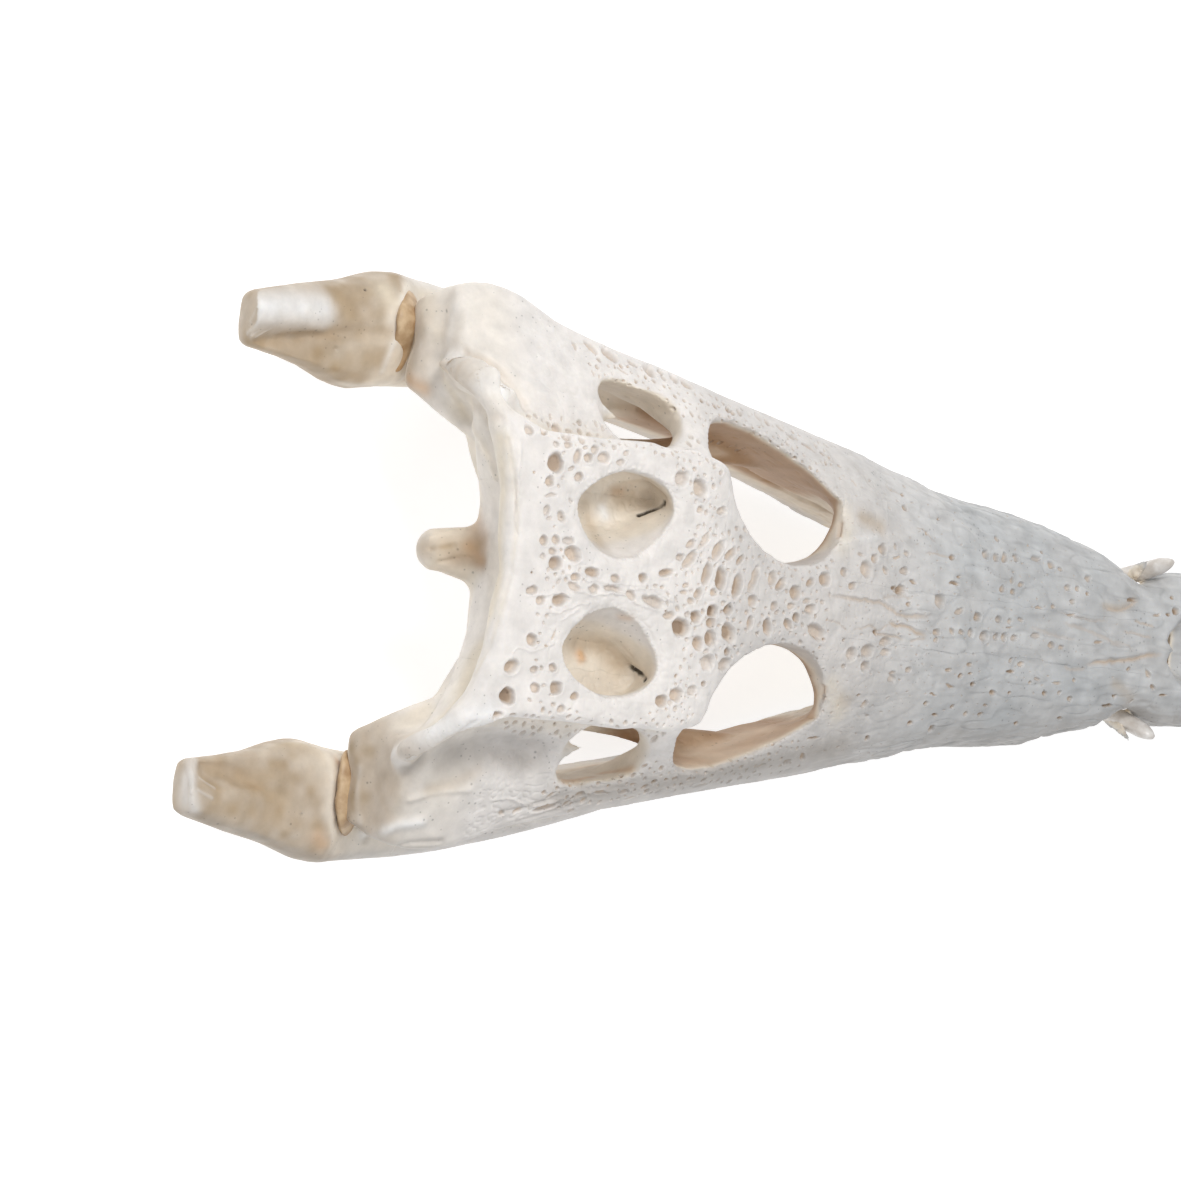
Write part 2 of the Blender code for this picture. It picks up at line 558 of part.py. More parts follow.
def ramus_nodes():
    """Left half of the lower jaw, parted into dentary, angular and articular."""
    body = loft([jaw_ring(s) for s in stations((0.0, 0.06, 6), (0.06, 0.4, 16), (0.4, 1.0, 20), (1.0, 1.222, 16))])
    window = ball((0.210, 0.845, 0.066), (0.060, 0.040, 0.018))
    fossa = ball((0.178, 0.850, 0.095), (0.014, 0.070, 0.048))
    trough = ball((0.184, 1.150, 0.172), (0.024, 0.082, 0.040))
    combine(body, [window, fossa, trough], "DIFFERENCE", "MANIFOLD")
    softened(body, RAMUS_FACES)
    combine(body, [half_space((0, 0, 0), (0, 0, 1), 0.0)], "INTERSECT", "MANIFOLD")
    combine(body, [half_space((0, 0, 0), (1, 0, 0), SEAM)], "INTERSECT", "MANIFOLD")
    front, rear = (0, -1, 0), (0, 1, 0)
    return {"dentary": kept(body, ((0, DENTARY_END, 0), front)),
            "angular": kept(body, ((0, DENTARY_END, 0), rear), ((0, ANGULAR_END, 0), front)),
            "articular": kept(body, ((0, ANGULAR_END, 0), rear))}


def tooth(root, tip, radius, flatten=0.8):
    """Curved cone from inside the jaw to the tip, which bends back a little."""
    stops = []
    root, tip = Vector(root), Vector(tip)
    for share, size in ((0.0, 0.9), (0.45, 1.0), (0.80, 0.56), (1.0, 0.12)):
        centre = root.lerp(tip, share)
        centre.y -= 0.10 * radius * math.sin(math.pi * share) * 4
        stops.append((tuple(centre), radius * size * flatten, radius * size))
    return bar(stops, count=6, power=2.0)


# Upper teeth: (station, length below the edge, radius)
PREMAXILLA_TEETH = ((0.020, 0.016, 0.0045), (0.040, 0.020, 0.0055), (0.066, 0.028, 0.0075), (0.096, 0.034, 0.0090),
                    (0.124, 0.022, 0.0065))
MAXILLA_TEETH = ((0.197, 0.016, 0.0055), (0.222, 0.020, 0.0065), (0.250, 0.024, 0.0075), (0.282, 0.030, 0.0090),
                 (0.318, 0.036, 0.0105), (0.352, 0.022, 0.0070), (0.382, 0.018, 0.0060), (0.412, 0.020, 0.0065),
                 (0.446, 0.026, 0.0080), (0.482, 0.028, 0.0085), (0.516, 0.022, 0.0075), (0.548, 0.018, 0.0070),
                 (0.578, 0.014, 0.0065))
TOOTH_INSET = 0.011
TOOTH_ROOT = 0.020


def upper_teeth(rows, side, rng):
    teeth = []
    for station, length, radius in rows:
        station += rng.uniform(-0.003, 0.003)
        length *= rng.uniform(0.85, 1.12)
        edge = EDGE(station)
        x = HALF_WIDTH(station) - TOOTH_INSET
        splay = 0.10 * length
        root = (side * (x - splay), station, edge + TOOTH_ROOT)
        tip = (side * (x + splay), station + 0.004, edge - length)
        teeth.append(tooth(root, tip, radius))
    return teeth


def fourth_tooth(side, rng):
    """Large lower tooth that stands in the notch of the upper jaw."""
    lean = rng.uniform(-0.002, 0.002)
    return tooth((side * 0.062, 0.162, 0.055), (side * 0.092, 0.166 + lean, 0.118), 0.0100)


def material(name, colour, roughness):
    made = bpy.data.materials.new(name)
    made.use_nodes = True
    shader = made.node_tree.nodes["Principled BSDF"]
    shader.inputs["Base Color"].default_value = (*colour, 1.0)
    shader.inputs["Roughness"].default_value = roughness
    return made


BONE = material("bone", (0.80, 0.76, 0.66), 0.6)
CREAM_BONE = material("cream_bone", (0.74, 0.64, 0.48), 0.6)
CREAM_NODES = ("braincase", "palate", "articular_left", "articular_right")


def eased(value, low, high):
    """0 below low, 1 above high and a smooth step between them."""
    share = min(max((value - low) / (high - low), 0.0), 1.0)
    return share * share * (3 - 2 * share)


def lopsided(thing):
    """The left jaw joint lies a little further forward than the right one."""
    for vert in thing.data.vertices:
        side = vert.co.x / SKULL_LENGTH
        station = vert.co.y / SKULL_LENGTH + MIDDLE_STATION
        step = LEFT_FORWARD * eased(side, 0.10, 0.17) * eased(station, 0.88, 1.04)
        vert.co.y -= step * SKULL_LENGTH


def finish(thing, name, turn):
    """Names a node, keeps its one body and gives it its place and material."""
    largest_body(thing)
    thing.data.transform(turn)
    lopsided(thing)
    thing.name = name
    thing.data.name = name
    thing.data.materials.clear()
    thing.data.materials.append(CREAM_BONE if name in CREAM_NODES else BONE)
    thing.data.shade_smooth()


def build():
    rng = random.Random(7)
    nodes = cranium_nodes()
    combine(nodes["premaxillae"], upper_teeth(PREMAXILLA_TEETH, 1, rng) + upper_teeth(PREMAXILLA_TEETH, -1, rng),
            "UNION")
    for side, name in ((1, "maxilla_left"), (-1, "maxilla_right")):
        combine(nodes[name], upper_teeth(MAXILLA_TEETH, side, rng), "UNION")
    centre = Matrix.Translation((MIDDLE_SIDE * SKULL_LENGTH, 0, 0))
    for name, thing in nodes.items():
        finish(thing, name, centre)
    snout_tip = Matrix.Translation(place(0, 0, 0))
    slide = Matrix.Translation((JAW_SLIDE * SKULL_LENGTH, 0, 0))
    jaw_turn = centre @ slide @ snout_tip @ Matrix.Rotation(-JAW_TURN, 4, "Z") @ snout_tip.inverted()
    for name, thing in ramus_nodes().items():
        right = mirrored(thing)
        for side, half, place_name in ((1, thing, "left"), (-1, right, "right")):
            if name == "dentary":
                combine(half, [fourth_tooth(side, rng)], "UNION")
            finish(half, f"{name}_{place_name}", jaw_turn)
    for spare in [thing for thing in bpy.data.objects if thing.name not in NODE_NAMES]:
        bpy.data.objects.remove(spare, do_unlink=True)


NODE_NAMES = {"premaxillae", "nasals", "frontal", "skull_table", "palate", "braincase"} | {
    f"{bone}_{side}" for bone in ("maxilla", "jugal", "quadrate", "dentary", "angular", "articular")
    for side in ("left", "right")}

build()
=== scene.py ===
"""Looks of a bleached crocodile skull with its lower jaw, on a pale floor.

Places on the skull are (side, station, height), in fractions of its length: side is positive on the
skull's left, station runs from 0 at the tip of the snout to 1 at the rear edge of the skull table.
"""
import itertools
import math
import random

import bmesh
import bpy
import numpy as np
from mathutils import Euler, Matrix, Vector
from mathutils.bvhtree import BVHTree
from mathutils.kdtree import KDTree


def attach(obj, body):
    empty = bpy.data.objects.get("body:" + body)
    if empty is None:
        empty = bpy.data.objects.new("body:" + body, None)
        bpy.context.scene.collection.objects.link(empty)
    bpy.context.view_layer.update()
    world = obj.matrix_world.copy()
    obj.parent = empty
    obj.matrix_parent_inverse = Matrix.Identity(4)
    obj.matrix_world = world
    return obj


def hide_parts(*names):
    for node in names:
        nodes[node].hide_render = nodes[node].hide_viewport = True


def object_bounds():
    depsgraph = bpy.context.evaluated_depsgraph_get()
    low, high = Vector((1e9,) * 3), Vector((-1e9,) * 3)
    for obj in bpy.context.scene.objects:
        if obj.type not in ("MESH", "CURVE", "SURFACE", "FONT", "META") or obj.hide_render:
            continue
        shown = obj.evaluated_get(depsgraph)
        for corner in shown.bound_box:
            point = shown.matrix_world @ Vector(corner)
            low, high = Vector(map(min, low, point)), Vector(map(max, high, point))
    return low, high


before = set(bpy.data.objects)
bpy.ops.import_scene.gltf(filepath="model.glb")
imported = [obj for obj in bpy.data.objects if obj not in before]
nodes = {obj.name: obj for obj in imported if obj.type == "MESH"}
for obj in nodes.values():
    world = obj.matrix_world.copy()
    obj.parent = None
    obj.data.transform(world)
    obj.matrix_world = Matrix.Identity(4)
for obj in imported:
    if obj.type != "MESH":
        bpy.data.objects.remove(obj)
CAD_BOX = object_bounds()
LOW, HIGH = (np.array(corner) for corner in CAD_BOX)

SKULL_LENGTH = 0.250
MIDDLE_STATION = 0.612
MIDDLE_SIDE = 0.0084
MM = 0.001

# The skin's cells, the swelling that closes the solids' seams, the gap that a suture leaves, and how
# far the skin stays inside the solids' box
SKIN_VOXEL = 0.60 * MM
SEAM_SWELL = 0.17 * MM
SUTURE_GAP = 0.025 * MM
EDGE_CLEARANCE = 0.03 * MM
SHARP_ANGLE = math.radians(58)
# A stroke narrower than this is pressed in after the skin has been refined
FINE_STROKE = 0.95 * MM
# The relief's cells, and how far its marks stray from true ovals and lines
RELIEF_STEP = 0.12 * MM
WARP = 0.24 * MM
# A way out shorter than LOST was lost at a cut and is taken from the skin within SKIN_REACH
SKIN_REACH = 0.5 * MM
LOST = 0.9
# Noise drawn out along the skull
STRETCHED = (1, 0.28, 1)
# The small squares of the floor over which the uppermost bone is kept
COVER_STEP = 0.8 * MM
# A scrap of a cut with fewer points than this is dropped, and of a larger one this many are asked
# which bone they belong to
SPARE_POINTS = 150
ASKED_POINTS = 400


def curve_through(*knots):
    """Smooth function through (station, value) knots, with no overshoot, for arrays as well as numbers."""
    at = np.array([k[0] for k in knots], float)
    value = np.array([k[1] for k in knots], float)
    step = np.diff(at)
    rise = np.diff(value) / step
    slope = np.zeros(len(at))
    slope[0], slope[-1] = rise[0], rise[-1]
    for i in range(1, len(at) - 1):
        if rise[i - 1] * rise[i] > 0:
            w1, w2 = 2 * step[i] + step[i - 1], step[i] + 2 * step[i - 1]
            slope[i] = (w1 + w2) / (w1 / rise[i - 1] + w2 / rise[i])

    def evaluate(s):
        s = np.clip(s, at[0], at[-1])
        i = np.minimum(np.searchsorted(at, s, side="right") - 1, len(step) - 1)
        t = (s - at[i]) / step[i]
        return (value[i] * (1 + 2 * t) * (1 - t) ** 2 + slope[i] * step[i] * t * (1 - t) ** 2
                + value[i + 1] * t * t * (3 - 2 * t) + slope[i + 1] * step[i] * t * t * (t - 1))
    return evaluate


# The solids' own curves, repeated here: half width and jaw edge of the cranium
HALF_WIDTH = curve_through(
    (0.0, 0.020), (0.006, 0.034), (0.020, 0.053), (0.045, 0.069), (0.085, 0.080), (0.120, 0.079),
    (0.150, 0.068), (0.168, 0.063), (0.185, 0.071), (0.210, 0.086), (0.250, 0.099), (0.300, 0.111),
    (0.345, 0.118), (0.400, 0.121), (0.440, 0.126), (0.510, 0.144), (0.560, 0.156), (0.620, 0.168),
    (0.680, 0.179), (0.740, 0.190), (0.800, 0.202), (0.870, 0.215), (0.930, 0.230), (0.980, 0.248),
    (1.010, 0.252), (1.060, 0.243))
EDGE = curve_through(
    (0.0, 0.084), (0.040, 0.070), (0.090, 0.066), (0.135, 0.076), (0.168, 0.092), (0.200, 0.082),
    (0.260, 0.068), (0.345, 0.062), (0.430, 0.074), (0.500, 0.079), (0.580, 0.075), (0.660, 0.084),
    (0.730, 0.100), (0.800, 0.114), (0.900, 0.124), (0.980, 0.128), (1.060, 0.130))

# Openings of the left side, as (side, station) outlines seen from above
ORBIT_RIM = ((0.072, 0.618), (0.046, 0.638), (0.036, 0.676), (0.042, 0.712), (0.059, 0.742), (0.082, 0.762),
             (0.106, 0.774), (0.132, 0.774), (0.156, 0.760), (0.158, 0.726), (0.141, 0.680), (0.120, 0.642),
             (0.097, 0.612))
UPPER_OPENING = ((0.070, 0.838), (0.046, 0.848), (0.026, 0.872), (0.021, 0.898), (0.036, 0.926),
                 (0.062, 0.942), (0.084, 0.926), (0.097, 0.892), (0.090, 0.856))

# Where the photograph's camera stands, and its view in pixels of the 1181 frame
LENS = 103.115
SENSOR = 36.0
FRAME_PIXELS = 1181
CAMERA_AT = Vector((-0.00656, 0.45351, 0.69401))
CAMERA_TURN = Euler((-0.056628, -0.540178, -1.443770))

# Pits read in enlarged pieces of the photograph. Each piece is named by its first pixel and
# each pit has its middle, half length and half width in enlarged pixels, the way of its long axis in
# degrees, and how brown its floor is, from 0 to BROWNEST
ENLARGED = 8.2526
BROWNEST = 9
PITS = {
    (490, 410): (
        (325, 160, 50, 25, 80, 3), (445, 160, 50, 26, 108, 5), (548, 150, 38, 30, 90, 4),
        (635, 215, 35, 30, 0, 3), (655, 172, 30, 18, 0, 2), (650, 285, 35, 28, 0, 3),
        (765, 240, 28, 24, 0, 3), (810, 205, 24, 20, 0, 2), (870, 325, 32, 30, 0, 3),
        (820, 400, 36, 34, 90, 4), (945, 395, 45, 40, 0, 3), (732, 385, 64, 27, 105, 4),
        (540, 440, 78, 46, 88, 7), (500, 590, 42, 32, 90, 5), (735, 545, 38, 28, 90, 4),
        (595, 880, 48, 26, 70, 3), (470, 830, 40, 25, 90, 2), (672, 745, 28, 12, 60, 1),
        (440, 1075, 38, 30, 60, 5), (548, 1070, 36, 28, 60, 4), (518, 1165, 32, 22, 0, 4),
        (540, 1260, 52, 46, 90, 6), (690, 1190, 68, 46, 38, 5), (850, 1335, 60, 34, 10, 6),
        (706, 1385, 38, 30, 0, 5), (1040, 1385, 42, 30, 0, 4), (1265, 1390, 38, 36, 0, 6),
        (1455, 1345, 62, 28, -8, 6), (940, 285, 22, 16, 0, 1), (1030, 305, 28, 20, 60, 1),
        (1130, 360, 24, 20, 0, 2), (1085, 440, 36, 24, 0, 2), (370, 520, 10, 10, 0, 6),
        (500, 705, 58, 14, -8, 2), (655, 1080, 50, 28, 10, 1), (345, 1345, 12, 10, 90, 9),
    ),
    (660, 470): (
        (185, 70, 60, 52, 80, 2), (335, 150, 80, 48, 55, 4), (335, 325, 34, 24, 0, 4),
        (515, 340, 42, 30, 0, 3), (258, 610, 44, 24, -35, 4), (170, 720, 32, 28, 0, 3),
        (250, 740, 90, 30, -50, 4), (370, 580, 85, 22, -52, 3), (485, 665, 90, 32, -57, 5),
        (590, 690, 70, 27, -46, 5), (665, 742, 52, 22, -42, 6), (390, 855, 92, 34, -66, 6),
        (507, 895, 86, 42, 95, 7), (640, 965, 102, 34, -72, 7), (780, 905, 118, 28, -63, 4),
        (452, 1010, 34, 32, 0, 5), (315, 1025, 38, 32, 60, 5), (255, 1085, 34, 22, 20, 4),
        (150, 1145, 30, 14, 80, 3), (437, 1170, 54, 40, 90, 9), (425, 1268, 38, 36, 0, 6),
        (565, 1155, 46, 38, 90, 7), (298, 1210, 48, 42, 90, 7), (175, 1300, 78, 60, 20, 8),
        (415, 1390, 64, 40, 62, 6), (565, 1340, 74, 44, 72, 7), (305, 1430, 46, 36, 80, 5),
        (765, 1080, 48, 38, 90, 5), (745, 1260, 52, 28, 85, 6), (888, 1300, 66, 38, 72, 7),
        (932, 895, 58, 34, -62, 4), (1000, 940, 62, 30, -36, 6), (945, 1120, 38, 30, 90, 4),
        (1085, 1120, 34, 24, 0, 4), (1125, 1010, 54, 44, 0, 6), (1245, 930, 46, 27, -40, 6),
        (1365, 905, 52, 46, 0, 6), (1515, 850, 34, 26, 0, 5), (1250, 1150, 50, 37, 0, 4),
        (1125, 1220, 32, 30, 0, 7), (1055, 1275, 54, 30, 55, 6), (1215, 1080, 40, 16, -15, 3),
        (1295, 1340, 92, 50, 30, 4), (60, 850, 66, 26, -5, 6), (210, 950, 28, 20, 0, 4),
        (200, 1010, 40, 15, 5, 4), (80, 1195, 50, 22, -10, 3),
    ),
    (490, 580): (
        (350, 85, 42, 30, 0, 4), (425, 170, 42, 30, -10, 4), (585, 165, 72, 40, -12, 6),
        (695, 55, 62, 24, 25, 3), (860, 75, 42, 30, 0, 3), (1010, 70, 78, 24, 12, 3),
        (1165, 130, 50, 28, 40, 3), (1350, 180, 98, 38, 18, 3), (350, 495, 50, 36, 90, 5),
        (460, 550, 18, 9, 0, 6), (522, 460, 62, 8, -68, 4), (185, 715, 56, 50, 90, 6),
        (358, 745, 30, 26, 90, 3), (525, 725, 32, 28, 90, 4), (372, 885, 34, 32, 0, 4),
        (545, 890, 50, 42, 80, 6), (140, 955, 64, 48, 75, 8), (700, 965, 32, 26, 0, 6),
        (55, 1120, 48, 30, -10, 6), (185, 1125, 26, 20, 0, 5), (442, 1080, 26, 14, 100, 5),
        (590, 1062, 34, 30, 0, 3), (1420, 1000, 52, 44, 10, 6), (1540, 950, 54, 48, 90, 5),
        (1540, 790, 13, 12, 0, 6), (1455, 255, 11, 11, 0, 8), (1480, 300, 50, 22, 0, 4),
    ),
    (640, 590): (
        (245, 212, 54, 28, 0, 4), (745, 360, 78, 46, 70, 7), (590, 400, 66, 42, 62, 7),
        (485, 445, 62, 40, 66, 6), (720, 508, 26, 26, 0, 8), (560, 600, 62, 48, 80, 2),
        (700, 615, 60, 40, -20, 3), (305, 705, 13, 12, 0, 7), (530, 775, 26, 22, 90, 6),
        (435, 832, 40, 34, 0, 1), (1525, 405, 13, 12, 0, 7), (1460, 405, 13, 12, 0, 7),
    ),
    (810, 440): (
        (355, 1200, 38, 27, 0, 5), (280, 1090, 36, 26, -10, 5), (420, 940, 26, 13, 0, 3),
        (535, 980, 33, 30, 0, 6), (470, 1065, 62, 50, 40, 4), (600, 900, 40, 34, 90, 5),
        (625, 1070, 36, 20, 60, 4), (790, 1080, 38, 26, 0, 3), (622, 1225, 44, 36, 80, 7),
        (700, 1217, 36, 15, 0, 8), (750, 1245, 64, 30, 10, 3), (862, 1168, 34, 14, 25, 6),
        (720, 965, 38, 11, 0, 5), (800, 935, 32, 18, 40, 3), (705, 880, 26, 14, 70, 3),
        (815, 1355, 24, 18, 0, 6), (1070, 1330, 60, 38, 70, 3), (1185, 1182, 52, 14, 10, 7),
        (1225, 1130, 22, 12, 10, 6), (1180, 970, 25, 18, 0, 7), (960, 768, 20, 14, 0, 6),
        (1060, 640, 15, 12, 0, 7), (790, 555, 30, 24, 0, 7), (770, 438, 16, 13, 0, 7),
        (365, 350, 32, 11, 60, 4), (100, 115, 15, 13, 0, 6), (1440, 945, 38, 30, 80, 3),
        (1530, 970, 26, 20, 90, 3), (1380, 1460, 39, 32, 20, 6), (1230, 1410, 40, 20, -20, 4),
    ),
    (560, 330): (
        (255, 140, 70, 24, 40, 4), (120, 130, 40, 16, 65, 3), (410, 200, 80, 34, 38, 4),
        (320, 245, 20, 18, 0, 5), (510, 297, 20, 12, 0, 6), (520, 335, 60, 8, 30, 3),
        (708, 385, 14, 13, 0, 7), (735, 330, 60, 40, 30, 3), (830, 345, 26, 20, 90, 3),
        (855, 392, 26, 22, 0, 2), (858, 458, 14, 14, 0, 6), (940, 395, 40, 34, 0, 2),
        (1045, 452, 52, 26, 25, 6), (1170, 577, 16, 15, 0, 9), (1275, 620, 20, 18, 0, 8),
        (1315, 637, 12, 12, 0, 7), (1385, 655, 24, 24, 0, 8), (1428, 685, 20, 18, 0, 6),
        (1480, 675, 30, 28, 0, 3), (600, 270, 40, 22, 20, 2),
    ),
    (700, 370): (
        (552, 432, 22, 22, 0, 8), (660, 475, 34, 16, 35, 4), (480, 385, 34, 26, 0, 2),
        (755, 545, 44, 18, 25, 3), (850, 603, 14, 13, 0, 8), (900, 635, 70, 16, 38, 4),
        (1010, 690, 22, 18, 0, 7),
    ),
    (810, 590): (
        (150, 250, 14, 10, 0, 6), (540, 345, 26, 18, 40, 8), (345, 530, 50, 46, 0, 2),
        (475, 500, 56, 48, 0, 3), (625, 420, 58, 34, -10, 4), (625, 515, 46, 30, 0, 3),
        (455, 635, 45, 36, 90, 3), (815, 660, 30, 22, 0, 4), (685, 690, 26, 16, 0, 4),
        (680, 735, 40, 30, 0, 2), (405, 870, 20, 12, -20, 8), (455, 940, 34, 20, 110, 5),
        (290, 418, 16, 13, 0, 7), (120, 405, 14, 12, 0, 6), (60, 408, 14, 12, 0, 7),
        (285, 630, 24, 18, 0, 3), (820, 1098, 24, 16, 0, 8), (470, 1232, 22, 20, 0, 9),
        (1000, 1150, 30, 20, -55, 8), (1020, 1027, 26, 13, 0, 8), (955, 940, 22, 17, 0, 8),
        (1015, 865, 34, 9, 15, 7), (1165, 965, 24, 16, 0, 7), (1345, 775, 22, 17, 0, 8),
        (1145, 660, 24, 15, 0, 6), (1235, 705, 26, 16, -15, 8), (1315, 685, 20, 12, 0, 7),
        (1305, 615, 26, 14, 0, 6), (1150, 795, 44, 10, 25, 6), (1510, 850, 36, 20, 15, 7),
        (1445, 955, 20, 12, 0, 6), (1405, 1022, 24, 14, 0, 7), (1285, 1022, 18, 16, 0, 6),
        (1040, 415, 20, 18, 90, 5), (1045, 350, 32, 28, 0, 5), (1170, 340, 30, 16, 55, 4),
        (1245, 350, 30, 16, 55, 4), (1325, 355, 34, 26, 40, 3), (1435, 385, 44, 34, 90, 3),
        (1540, 390, 28, 24, 90, 3), (1220, 180, 36, 18, -20, 4),
    ),
    (990, 480): (
        (60, 485, 26, 20, 0, 6), (45, 640, 34, 22, 90, 4), (118, 640, 34, 22, 90, 5),
        (215, 645, 30, 28, 0, 4), (330, 535, 12, 11, 0, 6), (440, 590, 14, 12, 0, 7),
        (390, 640, 50, 20, 0, 2), (515, 700, 36, 30, 0, 5), (590, 735, 24, 18, 0, 4),
        (820, 810, 26, 22, 0, 4), (645, 890, 28, 26, 0, 3), (725, 900, 20, 18, 90, 5),
        (805, 942, 20, 14, 0, 7), (690, 1000, 26, 20, 0, 3), (180, 830, 26, 18, -30, 4),
        (260, 865, 30, 20, 0, 5), (100, 900, 24, 24, 0, 6), (195, 925, 24, 22, 0, 6),
        (355, 1045, 40, 10, 5, 5), (530, 1052, 22, 16, 0, 5), (680, 1110, 40, 12, 0, 5),
        (75, 1150, 34, 24, 90, 3), (165, 1165, 22, 18, 0, 4), (165, 1215, 40, 9, -10, 5),
        (260, 1155, 30, 16, 0, 3), (45, 1300, 26, 20, 90, 4), (118, 1300, 34, 24, 90, 5),
        (212, 1305, 34, 26, 0, 3), (390, 1290, 50, 20, 0, 2), (510, 1365, 34, 26, 0, 5),
        (590, 1385, 26, 16, 0, 4), (180, 1490, 24, 16, -30, 4), (260, 1525, 32, 20, 0, 5),
        (1185, 990, 50, 14, -5, 7), (1480, 1105, 20, 14, 0, 8), (1385, 1110, 40, 10, -15, 5),
        (1540, 1080, 30, 26, 0, 8), (1510, 965, 20, 14, 0, 7), (895, 1340, 40, 12, 0, 6),
    ),
    (990, 590): (
        (165, 677, 40, 12, 0, 8), (330, 760, 16, 14, 0, 6), (390, 735, 30, 14, 20, 3),
        (165, 848, 14, 12, 0, 7), (25, 850, 36, 20, 10, 7), (450, 850, 22, 17, 0, 7),
        (570, 845, 24, 18, 0, 4), (695, 742, 18, 15, 0, 6), (545, 770, 50, 10, 0, 4),
        (1150, 650, 16, 16, 0, 6), (1020, 870, 22, 16, 20, 7), (965, 950, 44, 14, 5, 8),
        (1160, 920, 24, 16, -20, 6), (1425, 870, 40, 10, 0, 8), (1340, 800, 30, 16, 35, 6),
        (1300, 690, 40, 18, 50, 4), (660, 905, 24, 22, 0, 5), (575, 1060, 26, 14, 15, 8),
        (215, 1110, 20, 13, 0, 8),
    ),
    (490, 650): (
        (1175, 1118, 24, 10, -10, 6), (1270, 1138, 26, 12, -30, 6), (1348, 1102, 16, 14, 0, 8),
        (1452, 1080, 18, 12, 0, 7), (1530, 1068, 22, 16, 0, 5), (500, 1205, 44, 14, -30, 5),
        (630, 1270, 36, 16, -40, 6), (770, 1250, 30, 14, -60, 5), (460, 1305, 110, 24, -18, 5),
        (100, 1355, 26, 18, 0, 4), (225, 1335, 44, 14, -35, 5), (670, 1335, 30, 20, -30, 4),
        (735, 1200, 40, 20, -10, 4), (905, 1180, 50, 14, 0, 5), (1100, 1170, 40, 20, 0, 3),
        (1150, 1230, 50, 10, -20, 4),
    ),
    (640, 720): (
        (30, 560, 24, 14, -15, 7), (110, 520, 20, 18, 0, 9), (210, 500, 20, 14, 0, 8),
        (290, 490, 24, 14, 0, 6), (335, 528, 14, 12, 0, 8), (400, 490, 20, 16, 0, 7),
        (442, 485, 14, 12, 0, 7), (520, 497, 26, 14, -35, 9), (1000, 380, 34, 10, -20, 6),
        (490, 550, 60, 12, -12, 3), (1210, 350, 30, 20, 0, 4), (1430, 155, 60, 10, -3, 7),
        (1340, 310, 40, 16, 40, 6),
    ),
}
